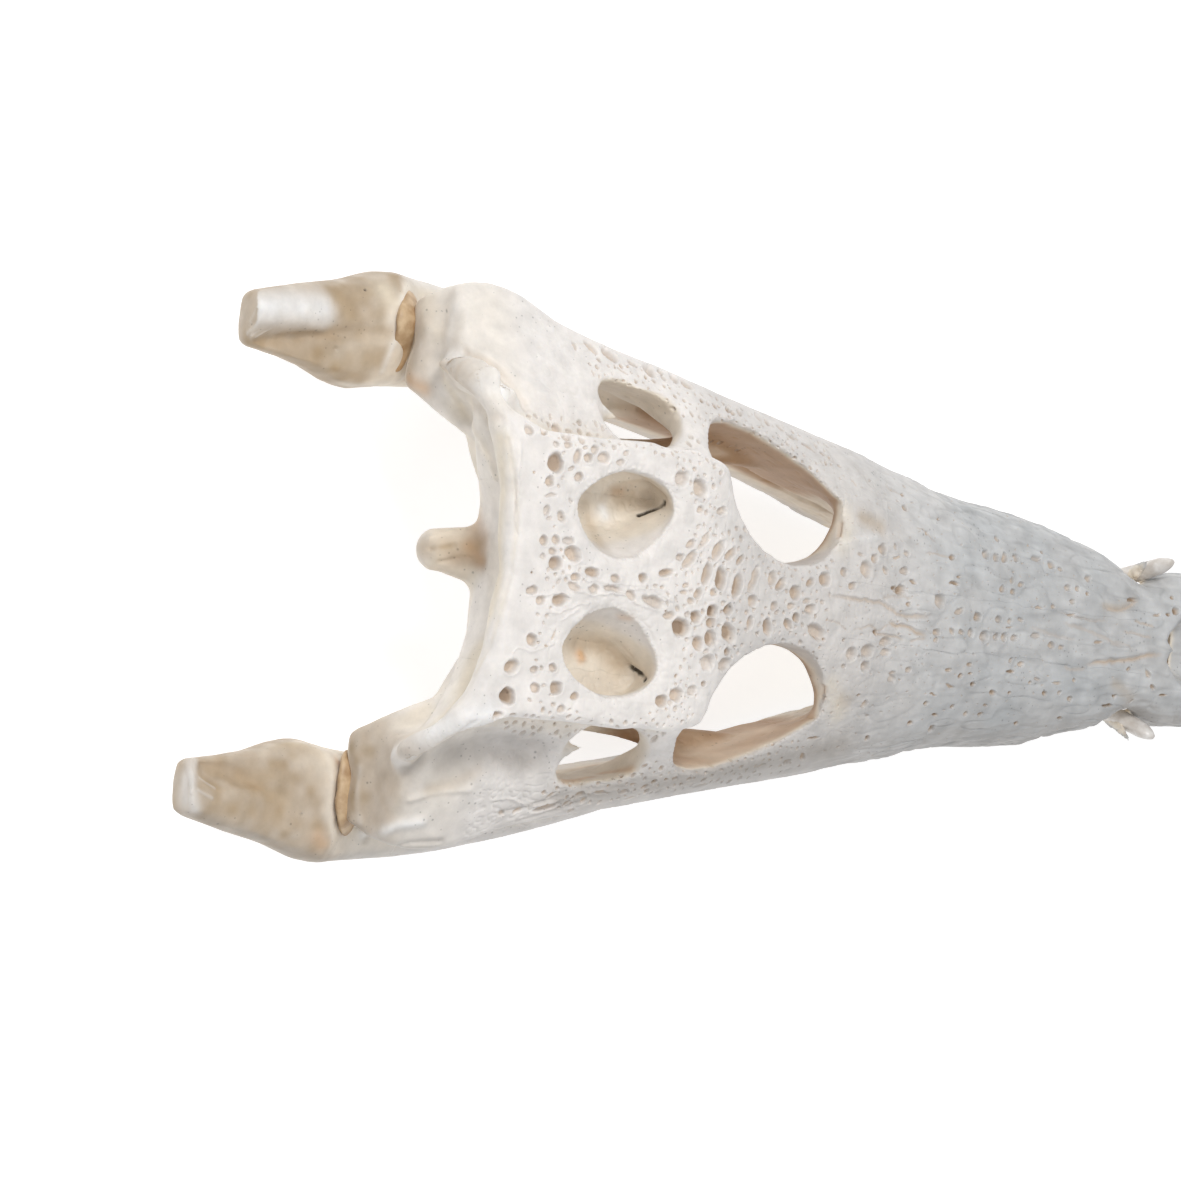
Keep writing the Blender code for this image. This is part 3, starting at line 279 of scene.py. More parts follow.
# Furrows and, below nought, ridges: half width and depth in hundredths of a millimetre, brownness
# from 0 to BROWNEST, and the line's points in enlarged pixels
LINES = {
    (490, 410): (
        (30, 12, 2, ((210, 640), (205, 800), (215, 960), (235, 1050))),
        (36, -26, 0, ((560, 1330), (640, 1350), (780, 1400), (950, 1420), (1150, 1440), (1290, 1480))),
        (30, -22, 0, ((400, 1020), (430, 1100), (480, 1130))),
        (60, -30, 0, ((255, 230), (240, 420), (225, 640), (240, 900))),
    ),
    (490, 580): (
        (40, -30, 0, ((240, 70), (300, 120), (430, 125), (560, 110), (650, 105))),
        (40, -30, 0, ((480, 190), (500, 270), (640, 240), (740, 195), (860, 185))),
        (40, -32, 0, ((620, 40), (700, 90), (790, 100), (860, 130), (950, 112), (1110, 122), (1190, 185),
                      (1330, 240), (1440, 262))),
        (36, -26, 0, ((930, 50), (960, 90), (1100, 100), (1300, 70), (1420, 130), (1500, 170),
                      (1520, 280))),
        (36, -24, 0, ((1150, 30), (1300, 60), (1420, 120))),
        (34, -20, 0, ((170, 640), (230, 560), (340, 590), (440, 560), (560, 520))),
        (36, -24, 0, ((580, 330), (680, 280), (740, 240))),
    ),
    (810, 440): (
        (35, -22, 0, ((320, 140), (450, 260), (560, 400), (620, 480), (640, 700))),
        (40, 18, 2, ((330, 170), (440, 280), (540, 410), (590, 480))),
        (35, 22, 3, ((100, 100), (150, 140), (210, 190))),
        (34, 24, 3, ((620, 360), (680, 400), (770, 438))),
        (34, 22, 4, ((860, 710), (920, 740), (965, 770), (1010, 815), (1050, 850))),
        (34, 20, 5, ((950, 925), (1050, 940), (1180, 970))),
        (34, 20, 2, ((1240, 690), (1290, 730), (1335, 770))),
        (60, 26, 6, ((130, 1285), (400, 1315), (600, 1355), (720, 1430), (850, 1455), (1010, 1445))),
        (60, -22, 0, ((130, 1265), (400, 1290), (610, 1330), (740, 1395), (860, 1425), (1030, 1420))),
        (50, -20, 0, ((720, 1470), (850, 1490), (1010, 1480), (1060, 1470))),
        (46, 18, 4, ((590, 1300), (720, 1290), (860, 1310))),
        (40, -22, 0, ((600, 1190), (620, 1270))),
    ),
    (700, 370): (
        (30, 14, 3, ((1040, 640), (1070, 690), (1120, 770))),
    ),
    (810, 590): (
        (60, 28, 7, ((640, 265), (700, 290), (790, 305), (880, 350), (960, 385))),
        (60, -24, 0, ((650, 240), (790, 275), (900, 320), (1050, 345))),
        (44, 24, 6, ((510, 320), (540, 350), (600, 365), (700, 382), (770, 412))),
        (50, -20, 0, ((590, 345), (700, 350), (800, 380), (900, 400))),
        (40, 20, 5, ((810, 420), (900, 400), (955, 405))),
        (34, 16, 5, ((360, 335), (500, 300), (560, 330), (660, 270))),
        (34, 18, 4, ((145, 250), (250, 285), (320, 330))),
    ),
    (990, 480): (
        (60, 22, 3, ((340, 1210), (470, 1260), (600, 1295), (740, 1330))),
        (70, -18, 0, ((330, 1180), (500, 1225), (620, 1255), (800, 1300), (960, 1320))),
        (50, 20, 3, ((570, 1085), (700, 1125), (850, 1155), (1000, 1170))),
        (60, 24, 4, ((600, 1185), (720, 1210), (850, 1260), (1000, 1330), (1100, 1380))),
        (70, -20, 0, ((640, 1160), (800, 1190), (950, 1260), (1150, 1330))),
        (46, 20, 5, ((1100, 1250), (1220, 1270), (1340, 1310))),
        (50, 24, 6, ((1190, 1160), (1280, 1185), (1360, 1212))),
        (50, 24, 6, ((960, 1055), (1040, 1068), (1120, 1060), (1240, 985))),
    ),
    (990, 590): (
        (80, 40, 7, ((800, 612), (900, 600), (1000, 592), (1180, 566), (1300, 545), (1420, 525))),
        (80, -26, 0, ((820, 570), (1000, 550), (1180, 525), (1300, 510))),
        (60, 22, 4, ((610, 640), (690, 660), (800, 650))),
        (60, -20, 0, ((830, 480), (1000, 475), (1180, 500))),
        (50, 18, 3, ((820, 360), (950, 410), (1080, 440), (1190, 480))),
    ),
    (490, 650): (
        (50, -30, 0, ((0, 1240), (200, 1240), (340, 1290), (560, 1240), (760, 1190), (960, 1160),
                      (1150, 1160), (1400, 1130))),
    ),
    (640, 720): (
        (50, -26, 0, ((0, 600), (250, 560), (400, 530), (520, 515))),
    ),
}
# Broad ridges and hollows: half width and depth in millimetres, below nought for a ridge, the paint
# and its strength, and the line's points in the photograph's pixels
# White raises the bone's tone on ridges and tips, partly as painted highlight; grey is painted shade; black
# is the painted shade of slits and pores
STROKES = (
    (4.8, -0.8, "white_and_highlight", 0.9, ((262, 308), (290, 307), (322, 310))),
    (1.9, 0.9, "tan", 0.9, ((248, 344), (290, 340), (340, 334), (392, 334))),
    (1.2, 0.2, "brown", 0.5, ((256, 342), (300, 338), (350, 333))),
    (5.0, 0.5, "yellow", 0.6, ((300, 352), (350, 362), (380, 360))),
    (3.0, 0.0, "yellow", 0.6, ((330, 288), (346, 300), (352, 316))),
    (2.6, 0.2, "tan", 0.6, ((338, 300), (345, 310))),
    (3.0, -0.3, "cream", 0.8, ((384, 290), (390, 300))),
    (0.9, -0.20, "white_and_highlight", 0.3, ((402, 298), (400, 330), (391, 352), (383, 372))),
    (1.0, -0.2, "white_and_highlight", 0.3, ((419, 345), (406, 362), (402, 378))),
    (2.0, 0.0, "orange", 0.6, ((409, 380), (425, 389))),
    # The right jugal's flank, greyed as painted shade
    (4.4, 0.0, "grey_shade", 0.70, ((560, 800), (650, 785), (760, 765), (840, 745))),
    (2.0, -0.4, "white_and_highlight", 0.5, ((194, 760), (192, 785), (195, 808))),
    (3.0, 0.3, "white_and_highlight", 0.5, ((184, 780), (184, 798))),
    (2.6, 0.9, "tan", 0.9, ((206, 764), (240, 776), (285, 800))),
    (1.3, 0.2, "brown", 0.5, ((204, 763), (235, 772), (262, 786))),
    (3.5, 0.2, "tan", 0.5, ((230, 806), (290, 820))),
    (2.0, -0.4, "cream", 0.3, ((262, 752), (290, 744), (318, 752))),
    (2.2, 0.0, "orange", 0.6, ((318, 838), (322, 844))),
    (1.2, 0.0, "orange", 0.6, ((338, 762), (346, 772))),
    (0.9, -0.20, "white_and_highlight", 0.2, ((360, 768), (357, 790), (360, 822))),
    (1.0, -0.2, "white_and_highlight", 0.2, ((339, 775), (339, 800), (336, 815))),
    # The left squamosal prong, painted white partly as highlight, with painted shadow in the furrow above it
    (3.4, -2.4, "white_and_highlight", 1.0, ((453, 364), (480, 381), (506, 400))),
    (2.0, -1.7, "white_and_highlight", 1.0, ((456, 366), (480, 381), (502, 397))),
    (1.2, 1.2, "tan", 0.35, ((466, 354), (490, 365), (510, 385), (526, 407))),
    (1.9, 1.0, "tan", 0.25, ((450, 382), (470, 400), (500, 418))),
    (1.5, -0.5, "cream", 0.5, ((446, 382), (462, 408), (482, 442), (495, 475))),
    (1.2, 0.4, "cream", 0.5, ((440, 362), (450, 390), (470, 420), (487, 455))),
    (1.6, -0.4, None, 0, ((430, 330), (470, 345), (510, 372), (545, 395))),
    (3.0, 0.1, "cream", 0.4, ((428, 305), (440, 335))),
    (2.6, -0.45, "white_and_highlight", 0.3, ((454, 310), (450, 338))),
    # The right squamosal prong, with painted shade below it and in the hollow behind it
    (3.0, -1.8, "white_and_highlight", 1.0, ((399, 757), (425, 739), (452, 724), (485, 713))),
    (1.4, 1.1, "grey_shade", 0.6, ((404, 771), (430, 755), (452, 741))),
    (5.4, 3.0, "grey_shade", 0.85, ((452, 762), (490, 752), (532, 756))),
    (3.5, 0.8, None, 0, ((510, 750), (540, 757))),
    (0.8, 0.7, None, 0, ((456, 733), (480, 732), (505, 732), (530, 738), (556, 742))),
    (0.8, 0.5, "tan", 0.6, ((476, 736), (465, 747), (452, 758))),
    (2.0, 0.3, "tan", 0.4, ((430, 790), (460, 782), (480, 772))),
    (1.0, -0.4, None, 0, ((410, 800), (440, 792), (470, 790))),
    # The quadratojugal's tip, with painted shade along its underside
    (1.6, -0.7, "white_and_highlight", 0.6, ((362, 833), (385, 830), (420, 822))),
    (1.0, 0.5, "grey_shade", 0.5, ((366, 841), (400, 846), (440, 842))),
    # Grooves greyed with painted shade
    (0.7, 0.35, "grey_shade", 0.4, ((500, 813), (530, 806), (556, 797))),
    (0.7, 0.30, "grey_shade", 0.4, ((516, 822), (552, 812), (580, 802))),
    (3.2, 0.2, "cream", 0.9, ((499, 440), (501, 500), (498, 560), (490, 610), (479, 650), (464, 688))),
    (0.8, 0.3, "cream", 0.4, ((508, 440), (514, 480), (517, 520), (512, 560), (503, 600), (491, 640),
                              (476, 672))),
    (3.0, 0.0, "orange", 0.5, ((478, 522), (482, 540))),
    (3.6, 0.0, "yellow", 0.6, ((424, 548), (450, 548), (476, 548))),
    (0.8, -0.5, "cream", 0.4, ((430, 538), (462, 530))),
    (0.7, 0.5, "tan", 0.6, ((430, 549), (455, 546))),
    (0.7, 0.4, "tan", 0.6, ((440, 562), (470, 558))),
    (2.2, 0.3, "brown", 0.7, ((456, 560), (482, 563))),
    (2.0, 0.0, "orange", 0.5, ((470, 546), (480, 560))),
    # Slits and pores painted black: the painted shade of holes
    (0.8, 0.5, "hole_shade", 1.0, ((639, 515), (652, 510), (664, 503))),
    (0.75, 0.5, "hole_shade", 1.0, ((628, 666), (638, 671), (645, 680))),
    (0.5, 0.5, "hole_shade", 0.9, ((336, 349), (337, 349.5))),
    (0.35, 0.3, "hole_shade", 0.8, ((345, 332), (345.5, 332))),
    (0.35, 0.3, "hole_shade", 0.8, ((365, 290), (365.5, 290))),
    (0.35, 0.3, "hole_shade", 0.8, ((447, 312), (447.5, 312.5))),
    (0.35, 0.3, "hole_shade", 0.8, ((301, 814), (302, 814))),
    (0.35, -0.25, "white_and_highlight", 0.3, ((247, 334), (258, 322), (262, 312))),
    (0.35, -0.25, "white_and_highlight", 0.3, ((250, 337), (264, 324), (268, 316))),
    (0.35, -0.25, "white_and_highlight", 0.3, ((256, 337), (270, 328))),
    (0.35, -0.22, "white_and_highlight", 0.3, ((250, 322), (257, 308), (258, 298))),
    (0.35, 0.25, "tan", 0.4, ((248, 328), (258, 316), (262, 304))),
    (0.35, 0.25, "tan", 0.4, ((253, 336), (266, 322))),
    (0.40, -0.25, "white_and_highlight", 0.3, ((198, 790), (212, 798))),
    (0.40, -0.25, "white_and_highlight", 0.3, ((199, 778), (214, 788))),
    (1.0, 0.5, "tan", 0.4, ((599, 506), (610, 491), (630, 485), (652, 485), (666, 498))),
    (3.2, 0.5, "tan", 0.7, ((620, 500), (645, 497))),
    (1.3, 0.0, "orange", 0.6, ((616, 492), (621, 492))),
    (1.5, -0.4, "white_and_highlight", 0.7, ((602, 508), (604, 516))),
    # Painted shade along the left bowl's left edge
    (2.0, 0.0, "tan", 0.5, ((585, 505), (590, 525), (600, 545))),
    (3.0, 0.5, "tan", 0.8, ((577, 645), (600, 647), (620, 665))),
    (1.3, -0.5, "orange", 1.0, ((580, 654), (581, 658))),
    (1.5, 0.0, "orange", 0.4, ((622, 617), (628, 618))),
    (2.4, 0.0, "brown", 0.5, ((757, 468), (772, 470))),
    (0.9, 0.6, "orange", 0.8, ((840, 524), (839, 535))),
    (2.6, 0.5, "tan", 0.6, ((864, 518), (880, 526))),
    (0.9, 0.6, "orange", 0.8, ((823, 688), (822, 697))),
    (2.2, 0.2, "tan", 0.4, ((842, 700), (848, 703))),
    (1.2, -0.5, "white_and_highlight", 0.3, ((840, 546), (855, 540), (876, 538))),
    (3.0, 0.0, "cream", 0.5, ((842, 512), (848, 530), (842, 545))),
    (3.0, 0.0, "cream", 0.5, ((832, 685), (838, 715))),
    (2.0, 0.0, "tan", 0.4, ((1115, 684), (1130, 698))),
    (1.2, 0.2, "tan", 0.5, ((1105, 606), (1122, 608), (1136, 600))),
    (1.5, 0.0, "orange", 0.6, ((564, 780), (590, 777))),
    (1.3, 0.0, "orange", 0.5, ((602, 773), (630, 769))),
)
# Seeded pits in the bands that the read ones leave bare: sides from and to, stations from and to,
# spacing and half sizes in millimetres, and greatest brownness
BANDS = (
    (0.000, 0.140, 0.785, 0.975, 1.70, 0.46, 0.92, 0.50),
    (0.000, 0.062, 0.630, 0.800, 1.90, 0.50, 0.90, 0.45),
    (0.000, 0.135, 0.500, 0.640, 2.60, 0.32, 0.72, 0.45),
    (0.000, 0.085, 0.300, 0.535, 2.0, 0.22, 0.60, 0.5),
    (0.085, 0.125, 0.240, 0.560, 2.9, 0.20, 0.42, 0.9),
    (0.000, 0.085, 0.176, 0.300, 3.4, 0.20, 0.45, 0.6),
)
# The same along the jugals: stations from and to, distances in from the edge, and the rest as above
JUGAL_BAND = (0.60, 0.90, 0.010, 0.045, 1.6, 0.36, 0.74, 0.8)
# Seeded pits of the flanks: stations from and to, heights from and to, spacing and half sizes in
# millimetres, and greatest brownness
FLANK_BANDS = (
    (0.700, 0.985, 0.020, 0.105, 1.6, 0.40, 0.85, 0.30),
    (0.620, 0.845, 0.120, 0.190, 1.5, 0.38, 0.78, 0.80),
    (0.200, 0.600, 0.100, 0.150, 2.6, 0.22, 0.42, 0.40),
    (0.050, 0.700, 0.018, 0.060, 2.4, 0.22, 0.45, 0.40),
)
# Rows of nerve openings: stations from and to, step, height from the jaw's edge, half size
NERVE_ROWS = ((0.195, 0.600, 0.024, 0.017, 0.42), (0.060, 0.560, 0.027, -0.030, 0.40))
# The dried gristle in the jaw's joints, in the photograph's pixels
GRISTLE = {"left": ((413, 293), (409, 312), (407, 331), (401, 352), (392, 370)),
           "right": ((352, 740), (352, 752), (351, 766), (349, 784), (347, 800), (348, 818), (350, 833))}


def place(side, station, height=0.0):
    """The point in space of a place on the skull."""
    return Vector(((side + MIDDLE_SIDE) * SKULL_LENGTH, (station - MIDDLE_STATION) * SKULL_LENGTH,
                   height * SKULL_LENGTH))


def skull_frame(co):
    """Side, station and height of points in space."""
    side, station, height = (co / SKULL_LENGTH).T
    return side - MIDDLE_SIDE, station + MIDDLE_STATION, height


def eased(value, low, high):
    """From 0 below the low value to 1 above the high one, without corners."""
    share = np.clip((value - low) / (high - low), 0.0, 1.0)
    return share * share * (3 - 2 * share)


def within(value, rise, fall):
    """1 between two edges, each eased over its own range."""
    return eased(value, *rise) * (1 - eased(value, *fall))


def make_object(name, data):
    thing = bpy.data.objects.new(name, data)
    bpy.context.scene.collection.objects.link(thing)
    return thing


def closed_object(name, points, faces, turned_out=False):
    """Object of one closed mesh whose faces all look outward."""
    mesh = bpy.data.meshes.new(name)
    mesh.from_pydata(points, [], faces)
    shape = bmesh.new()
    shape.from_mesh(mesh)
    bmesh.ops.recalc_face_normals(shape, faces=shape.faces)
    if turned_out and shape.calc_volume(signed=True) < 0:
        bmesh.ops.reverse_faces(shape, faces=shape.faces)
    shape.to_mesh(mesh)
    shape.free()
    return make_object(name, mesh)


def applied(thing):
    """Bakes the object's modifiers into its mesh."""
    bpy.context.view_layer.update()
    graph = bpy.context.evaluated_depsgraph_get()
    mesh = bpy.data.meshes.new_from_object(thing.evaluated_get(graph))
    thing.modifiers.clear()
    thing.data = mesh
    return thing


def modified(thing, kind, **settings):
    """Adds one modifier and bakes it in."""
    step = thing.modifiers.new(kind.lower(), kind)
    for key, value in settings.items():
        setattr(step, key, value)
    return applied(thing)


def values_of(items, name, width=3, kind=np.float32):
    """One value of each point, edge, corner or face, a row each where it has several numbers."""
    found = np.empty(len(items) * width, kind)
    items.foreach_get(name, found)
    return found.reshape(-1, width) if width > 1 else found


def points_of(mesh):
    return values_of(mesh.vertices, "co").astype(float)


def normals_of(mesh):
    return values_of(mesh.vertices, "normal").astype(float)


def edge_ends(mesh):
    return values_of(mesh.edges, "vertices", 2, np.int32)


def move_points(mesh, co):
    mesh.vertices.foreach_set("co", co.astype(np.float32).ravel())
    mesh.update()


def keep_value(mesh, name, value):
    """Stores one number for each point under a name."""
    layer = mesh.attributes.get(name) or mesh.attributes.new(name, "FLOAT", "POINT")
    layer.data.foreach_set("value", np.asarray(value, np.float32))


def value_of(mesh, name):
    return values_of(mesh.attributes[name].data, "value", 1).astype(float)


# Large odd numbers that scatter whole numbers, and the 32 bits and 24 bits kept of the outcome
SCATTER_I, SCATTER_J, SCATTER_K, SCATTER_SEED = 374761393, 668265263, 2147483647, 1274126177
WHOLE, PART = 0xFFFFFFFF, 0xFFFFFF


def lattice(i, j, k, seed):
    """Repeatable random numbers from 0 to 1 for whole numbers."""
    n = (i * SCATTER_I + j * SCATTER_J + k * SCATTER_K + seed * SCATTER_SEED) & WHOLE
    n = ((n ^ (n >> 13)) * SCATTER_SEED) & WHOLE
    return ((n ^ (n >> 16)) & PART) / PART


def noise(co, cell, seed):
    """Smooth noise from -1 to 1 with bumps about one cell wide."""
    p = co / cell
    base = np.floor(p).astype(np.int64)
    f = p - base
    f = f * f * (3 - 2 * f)
    shares = (1 - f, f)
    total = 0.0
    for step in itertools.product((0, 1), repeat=3):
        weight = shares[step[0]][:, 0] * shares[step[1]][:, 1] * shares[step[2]][:, 2]
        total = total + weight * lattice(*(base + step).T, seed)
    return 2 * total - 1


# The bones' common skin

# A solid tooth is taken back to its root where it reaches further than this below the jaw's edge, to
# as far above the edge as the second value
TOOTH_BELOW = 0.6 * MM
TOOTH_STUB = 0.3 * MM
SAME_POINT = 1e-7


def joined_skin(name, members, toothed=()):
    """One fine closed skin over several solids, whose narrow seams it closes."""
    shape = bmesh.new()
    for member in members:
        start = len(shape.verts)
        shape.from_mesh(nodes[member].data)
        shape.verts.ensure_lookup_table()
        if member in toothed:
            for vert in shape.verts[start:]:
                floor = float(EDGE(vert.co.y / SKULL_LENGTH + MIDDLE_STATION)) * SKULL_LENGTH
                if vert.co.z < floor - TOOTH_BELOW:
                    vert.co.z = floor + TOOTH_STUB
    bmesh.ops.remove_doubles(shape, verts=shape.verts, dist=SAME_POINT)
    shape.normal_update()
    for vert in shape.verts:
        vert.co += vert.normal * SEAM_SWELL
    mesh = bpy.data.meshes.new(name)
    shape.to_mesh(mesh)
    shape.free()
    thing = make_object(name, mesh)
    modified(thing, "REMESH", mode="VOXEL", voxel_size=SKIN_VOXEL)
    modified(thing, "SMOOTH", factor=0.5, iterations=10)
    return thing


def refine(thing, chosen):
    """Halves the edges of the chosen faces."""
    shape = bmesh.new()
    shape.from_mesh(thing.data)
    shape.faces.ensure_lookup_table()
    edges = {edge for i in np.nonzero(chosen)[0] for edge in shape.faces[i].edges}
    bmesh.ops.subdivide_edges(shape, edges=list(edges), cuts=1, use_grid_fill=True)
    bmesh.ops.triangulate(shape, faces=[f for f in shape.faces if len(f.verts) > 4])
    shape.to_mesh(thing.data)
    shape.free()
    thing.data.update()


# How far below the uppermost bone a point starts to count as covered, and where it is wholly so
COVERED = (2.0 * MM, 3.5 * MM)


class Cover:
    """The height of the uppermost bone over each small square of the floor."""

    def __init__(self, co):
        self.low = LOW[:2] - 2 * COVER_STEP
        self.roof = np.full(((HIGH[:2] - self.low) / COVER_STEP).astype(int) + 4, -1.0)
        self.add(co)

    def cells(self, co):
        cell = ((co[:, :2] - self.low) / COVER_STEP).astype(int)
        return tuple(np.clip(cell, 0, np.array(self.roof.shape) - 1).T)

    def add(self, co):
        np.maximum.at(self.roof, self.cells(co), co[:, 2])

    def open_sky(self, co):
        """From 1 at the uppermost bone to 0 well below it."""
        return 1 - eased(self.roof[self.cells(co)] - co[:, 2], *COVERED)


# Relief over the bone

# Across a pit, in shares of its radius: the flat floor, the lip's crest and width, and the reach
PIT_FLOOR = 0.45
LIP_AT = 1.12
LIP_WIDTH = 0.20
PIT_REACH = 1.9
# Across a line, in shares of its half width, how far it reaches
LINE_REACH = 2.2
# The stretch over which a line's end fades, as shares of its length, and its fall to both sides
LINE_FADE = (-0.08, 0.20)
LINE_FALL = 1.6
STAIN_FALL = 1.2
# Depths over which a pit's floor takes the place of another pit's lip
LIP_GIVES_WAY = (0.02 * MM, 0.14 * MM)
# Cells and seeds of the two noises that bend the marks
BEND_CELLS = (1.7 * MM, 0.8 * MM)
BEND_SEEDS = (61, 63)


class Relief:
    """Rises, sinks and stains of the bone as seen along one axis, in metres. The stains hold painted shade as
    well.
    """

    def __init__(self, low, high, across, along):
        self.axes = (across, along)
        self.low = np.array((low[across], low[along]), float)
        count = ((np.array((high[across], high[along])) - self.low) / RELIEF_STEP).astype(int) + 1
        self.rise = np.zeros(count, np.float32)
        self.sink = np.zeros(count, np.float32)
        self.stain_and_shade = np.zeros(count, np.float32)
        self.x = self.low[0] + np.arange(count[0]) * RELIEF_STEP
        self.y = self.low[1] + np.arange(count[1]) * RELIEF_STEP
        flat = np.stack([np.repeat(self.x, count[1]), np.tile(self.y, count[0]), np.zeros(count.prod())], 1)
        wide, narrow = BEND_CELLS
        self.warp = [(WARP * (noise(flat, wide, seed) + 0.5 * noise(flat, narrow, seed + 1))).reshape(
            count).astype(np.float32) for seed in BEND_SEEDS]

    def window(self, x0, x1, y0, y1):
        """The cells inside a box."""
        i0, i1 = np.searchsorted(self.x, (x0, x1))
        j0, j1 = np.searchsorted(self.y, (y0, y1))
        return slice(i0, i1), slice(j0, j1)

    def raise_to(self, field, window, value):
        """Keeps the greater of the field and the value in each cell."""
        view = field[window]
        np.maximum(view, value, out=view)

    def pit(self, x, y, long, short, angle, depth, rim=0.25, stain_and_shade=0.5):
        """Oval pit with a raised lip. The angle turns its long axis from the first axis to the second."""
        reach = long * PIT_REACH
        window = self.window(x - reach, x + reach, y - reach, y + reach)
        dx = self.x[window[0], None] - x + self.warp[0][window]
        dy = self.y[None, window[1]] - y + self.warp[1][window]
        c, s = math.cos(angle), math.sin(angle)
        q = np.hypot((c * dx + s * dy) / long, (c * dy - s * dx) / short)
        self.raise_to(self.sink, window, depth * (1 - eased(q, PIT_FLOOR, 1.0)))
        self.raise_to(self.rise, window, depth * rim * np.exp(-((q - LIP_AT) / LIP_WIDTH) ** 2))
        self.raise_to(self.stain_and_shade, window, stain_and_shade * (1 - eased(q, PIT_FLOOR, 1.0)))

    def line(self, points, half, depth, stain_and_shade=0.0):
        """Furrow of that depth along a line, or ridge where the depth is below nought."""
        points = np.asarray(points, float)
        total = len(points) - 1
        for k in range(total):
            a, b = points[k], points[k + 1]
            reach = LINE_REACH * half
            window = self.window(min(a[0], b[0]) - reach, max(a[0], b[0]) + reach,
                                 min(a[1], b[1]) - reach, max(a[1], b[1]) + reach)
            dx = self.x[window[0], None] - a[0] + self.warp[0][window]
            dy = self.y[None, window[1]] - a[1] + self.warp[1][window]
            way = b - a
            share = np.clip((dx * way[0] + dy * way[1]) / max(way @ way, 1e-12), 0, 1)
            away = np.hypot(dx - share * way[0], dy - share * way[1]) / half
            fade = eased(np.minimum(k + share, total - k - share) / total, *LINE_FADE)
            shape = np.exp(-away ** 2 * LINE_FALL) * fade
            self.raise_to(self.sink if depth > 0 else self.rise, window, abs(depth) * shape)
            if stain_and_shade:
                self.raise_to(self.stain_and_shade, window, stain_and_shade * np.exp(-away ** 2 * STAIN_FALL) * fade)

    def finish(self):
        """The lips give way where pits meet."""
        self.height = self.rise * (1 - eased(self.sink, *LIP_GIVES_WAY)) - self.sink
        gx, gy = np.gradient(self.height, RELIEF_STEP)
        self.slope = np.hypot(gx, gy).astype(np.float32)

    def at(self, field, co):
        """The field's value at points, between its cells."""
        u = np.clip((co[:, self.axes[0]] - self.low[0]) / RELIEF_STEP, 0, field.shape[0] - 1.001)
        v = np.clip((co[:, self.axes[1]] - self.low[1]) / RELIEF_STEP, 0, field.shape[1] - 1.001)
        i, j = u.astype(int), v.astype(int)
        fu, fv = u - i, v - j
        return ((field[i, j] * (1 - fu) + field[i + 1, j] * fu) * (1 - fv)
                + (field[i, j + 1] * (1 - fu) + field[i + 1, j + 1] * fu) * fv)


def smooth_line(points, per_span=6, closed=False):
    """Points along a smooth curve through a few corners."""
    corners = np.array(points, float)
    total = len(corners)
    result = []
    for k in range(total if closed else total - 1):
        if closed:
            p0, p1, p2, p3 = (corners[(k + j) % total] for j in (-1, 0, 1, 2))
        else:
            p0, p1, p2, p3 = (corners[min(max(k + j, 0), total - 1)] for j in (-1, 0, 1, 2))
        for step in range(per_span):
            f = step / per_span
            result.append(0.5 * (2 * p1 + (p2 - p0) * f + (2 * p0 - 5 * p1 + 4 * p2 - p3) * f * f
                                 + (3 * p1 - p0 - 3 * p2 + p3) * f ** 3))
    result.append(result[0] if closed else corners[-1])
    return np.array(result)


def seen(u, v):
    """The place on the solids that shows at a pixel of the photograph, and the way out of the bone."""
    size = SENSOR / LENS / FRAME_PIXELS
    ray = Vector(((u - FRAME_PIXELS / 2) * size, (FRAME_PIXELS / 2 - v) * size, -1.0))
    ray.rotate(CAMERA_TURN)
    place_hit, normal, _, _ = SOLIDS.ray_cast(CAMERA_AT, ray.normalized())
    return place_hit, normal, ray


def on_level(u, v, level):
    """Where a pixel's ray meets the plane at that height."""
    ray = seen(u, v)[2]
    return CAMERA_AT + ray * ((level - CAMERA_AT.z) / ray.z)


def enlarged(corner, x, y):
    """A pixel of the photograph from one of an enlarged piece."""
    return corner[0] + x / ENLARGED, corner[1] + y / ENLARGED


def read_pits():
    """Middle, half sizes in metres, angle and brownness of each pit read in the photograph."""
    found = []
    for corner, rows in PITS.items():
        for x, y, long, short, angle, brown in rows:
            middle = seen(*enlarged(corner, x, y))[0]
            if middle is None:
                continue
            c, s = math.cos(math.radians(angle)), math.sin(math.radians(angle))
            tip = (on_level(*enlarged(corner, x + c * long, y + s * long), middle.z) - middle).xy
            flank = (on_level(*enlarged(corner, x - s * short, y + c * short), middle.z) - middle).xy
            way = tip if long >= short else flank
            found.append((middle.x, middle.y, max(tip.length, flank.length), min(tip.length, flank.length),
                          math.atan2(way.y, way.x), brown / BROWNEST))
    return found


# Over this stretch, in stations, a band's pits grow closer
BAND_FADE = 0.05


def kept_near_ends(value, low, high, rng):
    """False more and more often towards the ends of a band, which so has no straight border."""
    return rng.random() < min(value - low, high - value) / BAND_FADE


# Where no pit is drawn: the middle of the upper opening and its half sizes, as side and station
BARE_MIDDLE, BARE_HALF = (0.058, 0.890), (0.062, 0.076)
# Room for so many pits
MOST_PITS = 9000
# Random places that are tried, for each square of the pits' spacing or in all
TRIES_PER_CELL = 9
FLANK_TRIES_PER_CELL = 7
JUGAL_TRIES = 4000
# A pit's width over its length, and what the snout's lengthwise pits keep of it and of their turn
ROUNDEST, THINNEST = 0.95, 0.55
LENGTHWISE_THIN = 0.6
LENGTHWISE_TURN = 0.25
# Least distance of two pits over the sum of their sizes, and the least share of a band's brownness
APART = 0.92
PALEST = 0.2


def in_upper_opening(side, station):
    across = (abs(side) - BARE_MIDDLE[0]) / BARE_HALF[0]
    along = (station - BARE_MIDDLE[1]) / BARE_HALF[1]
    return math.hypot(across, along) < 1


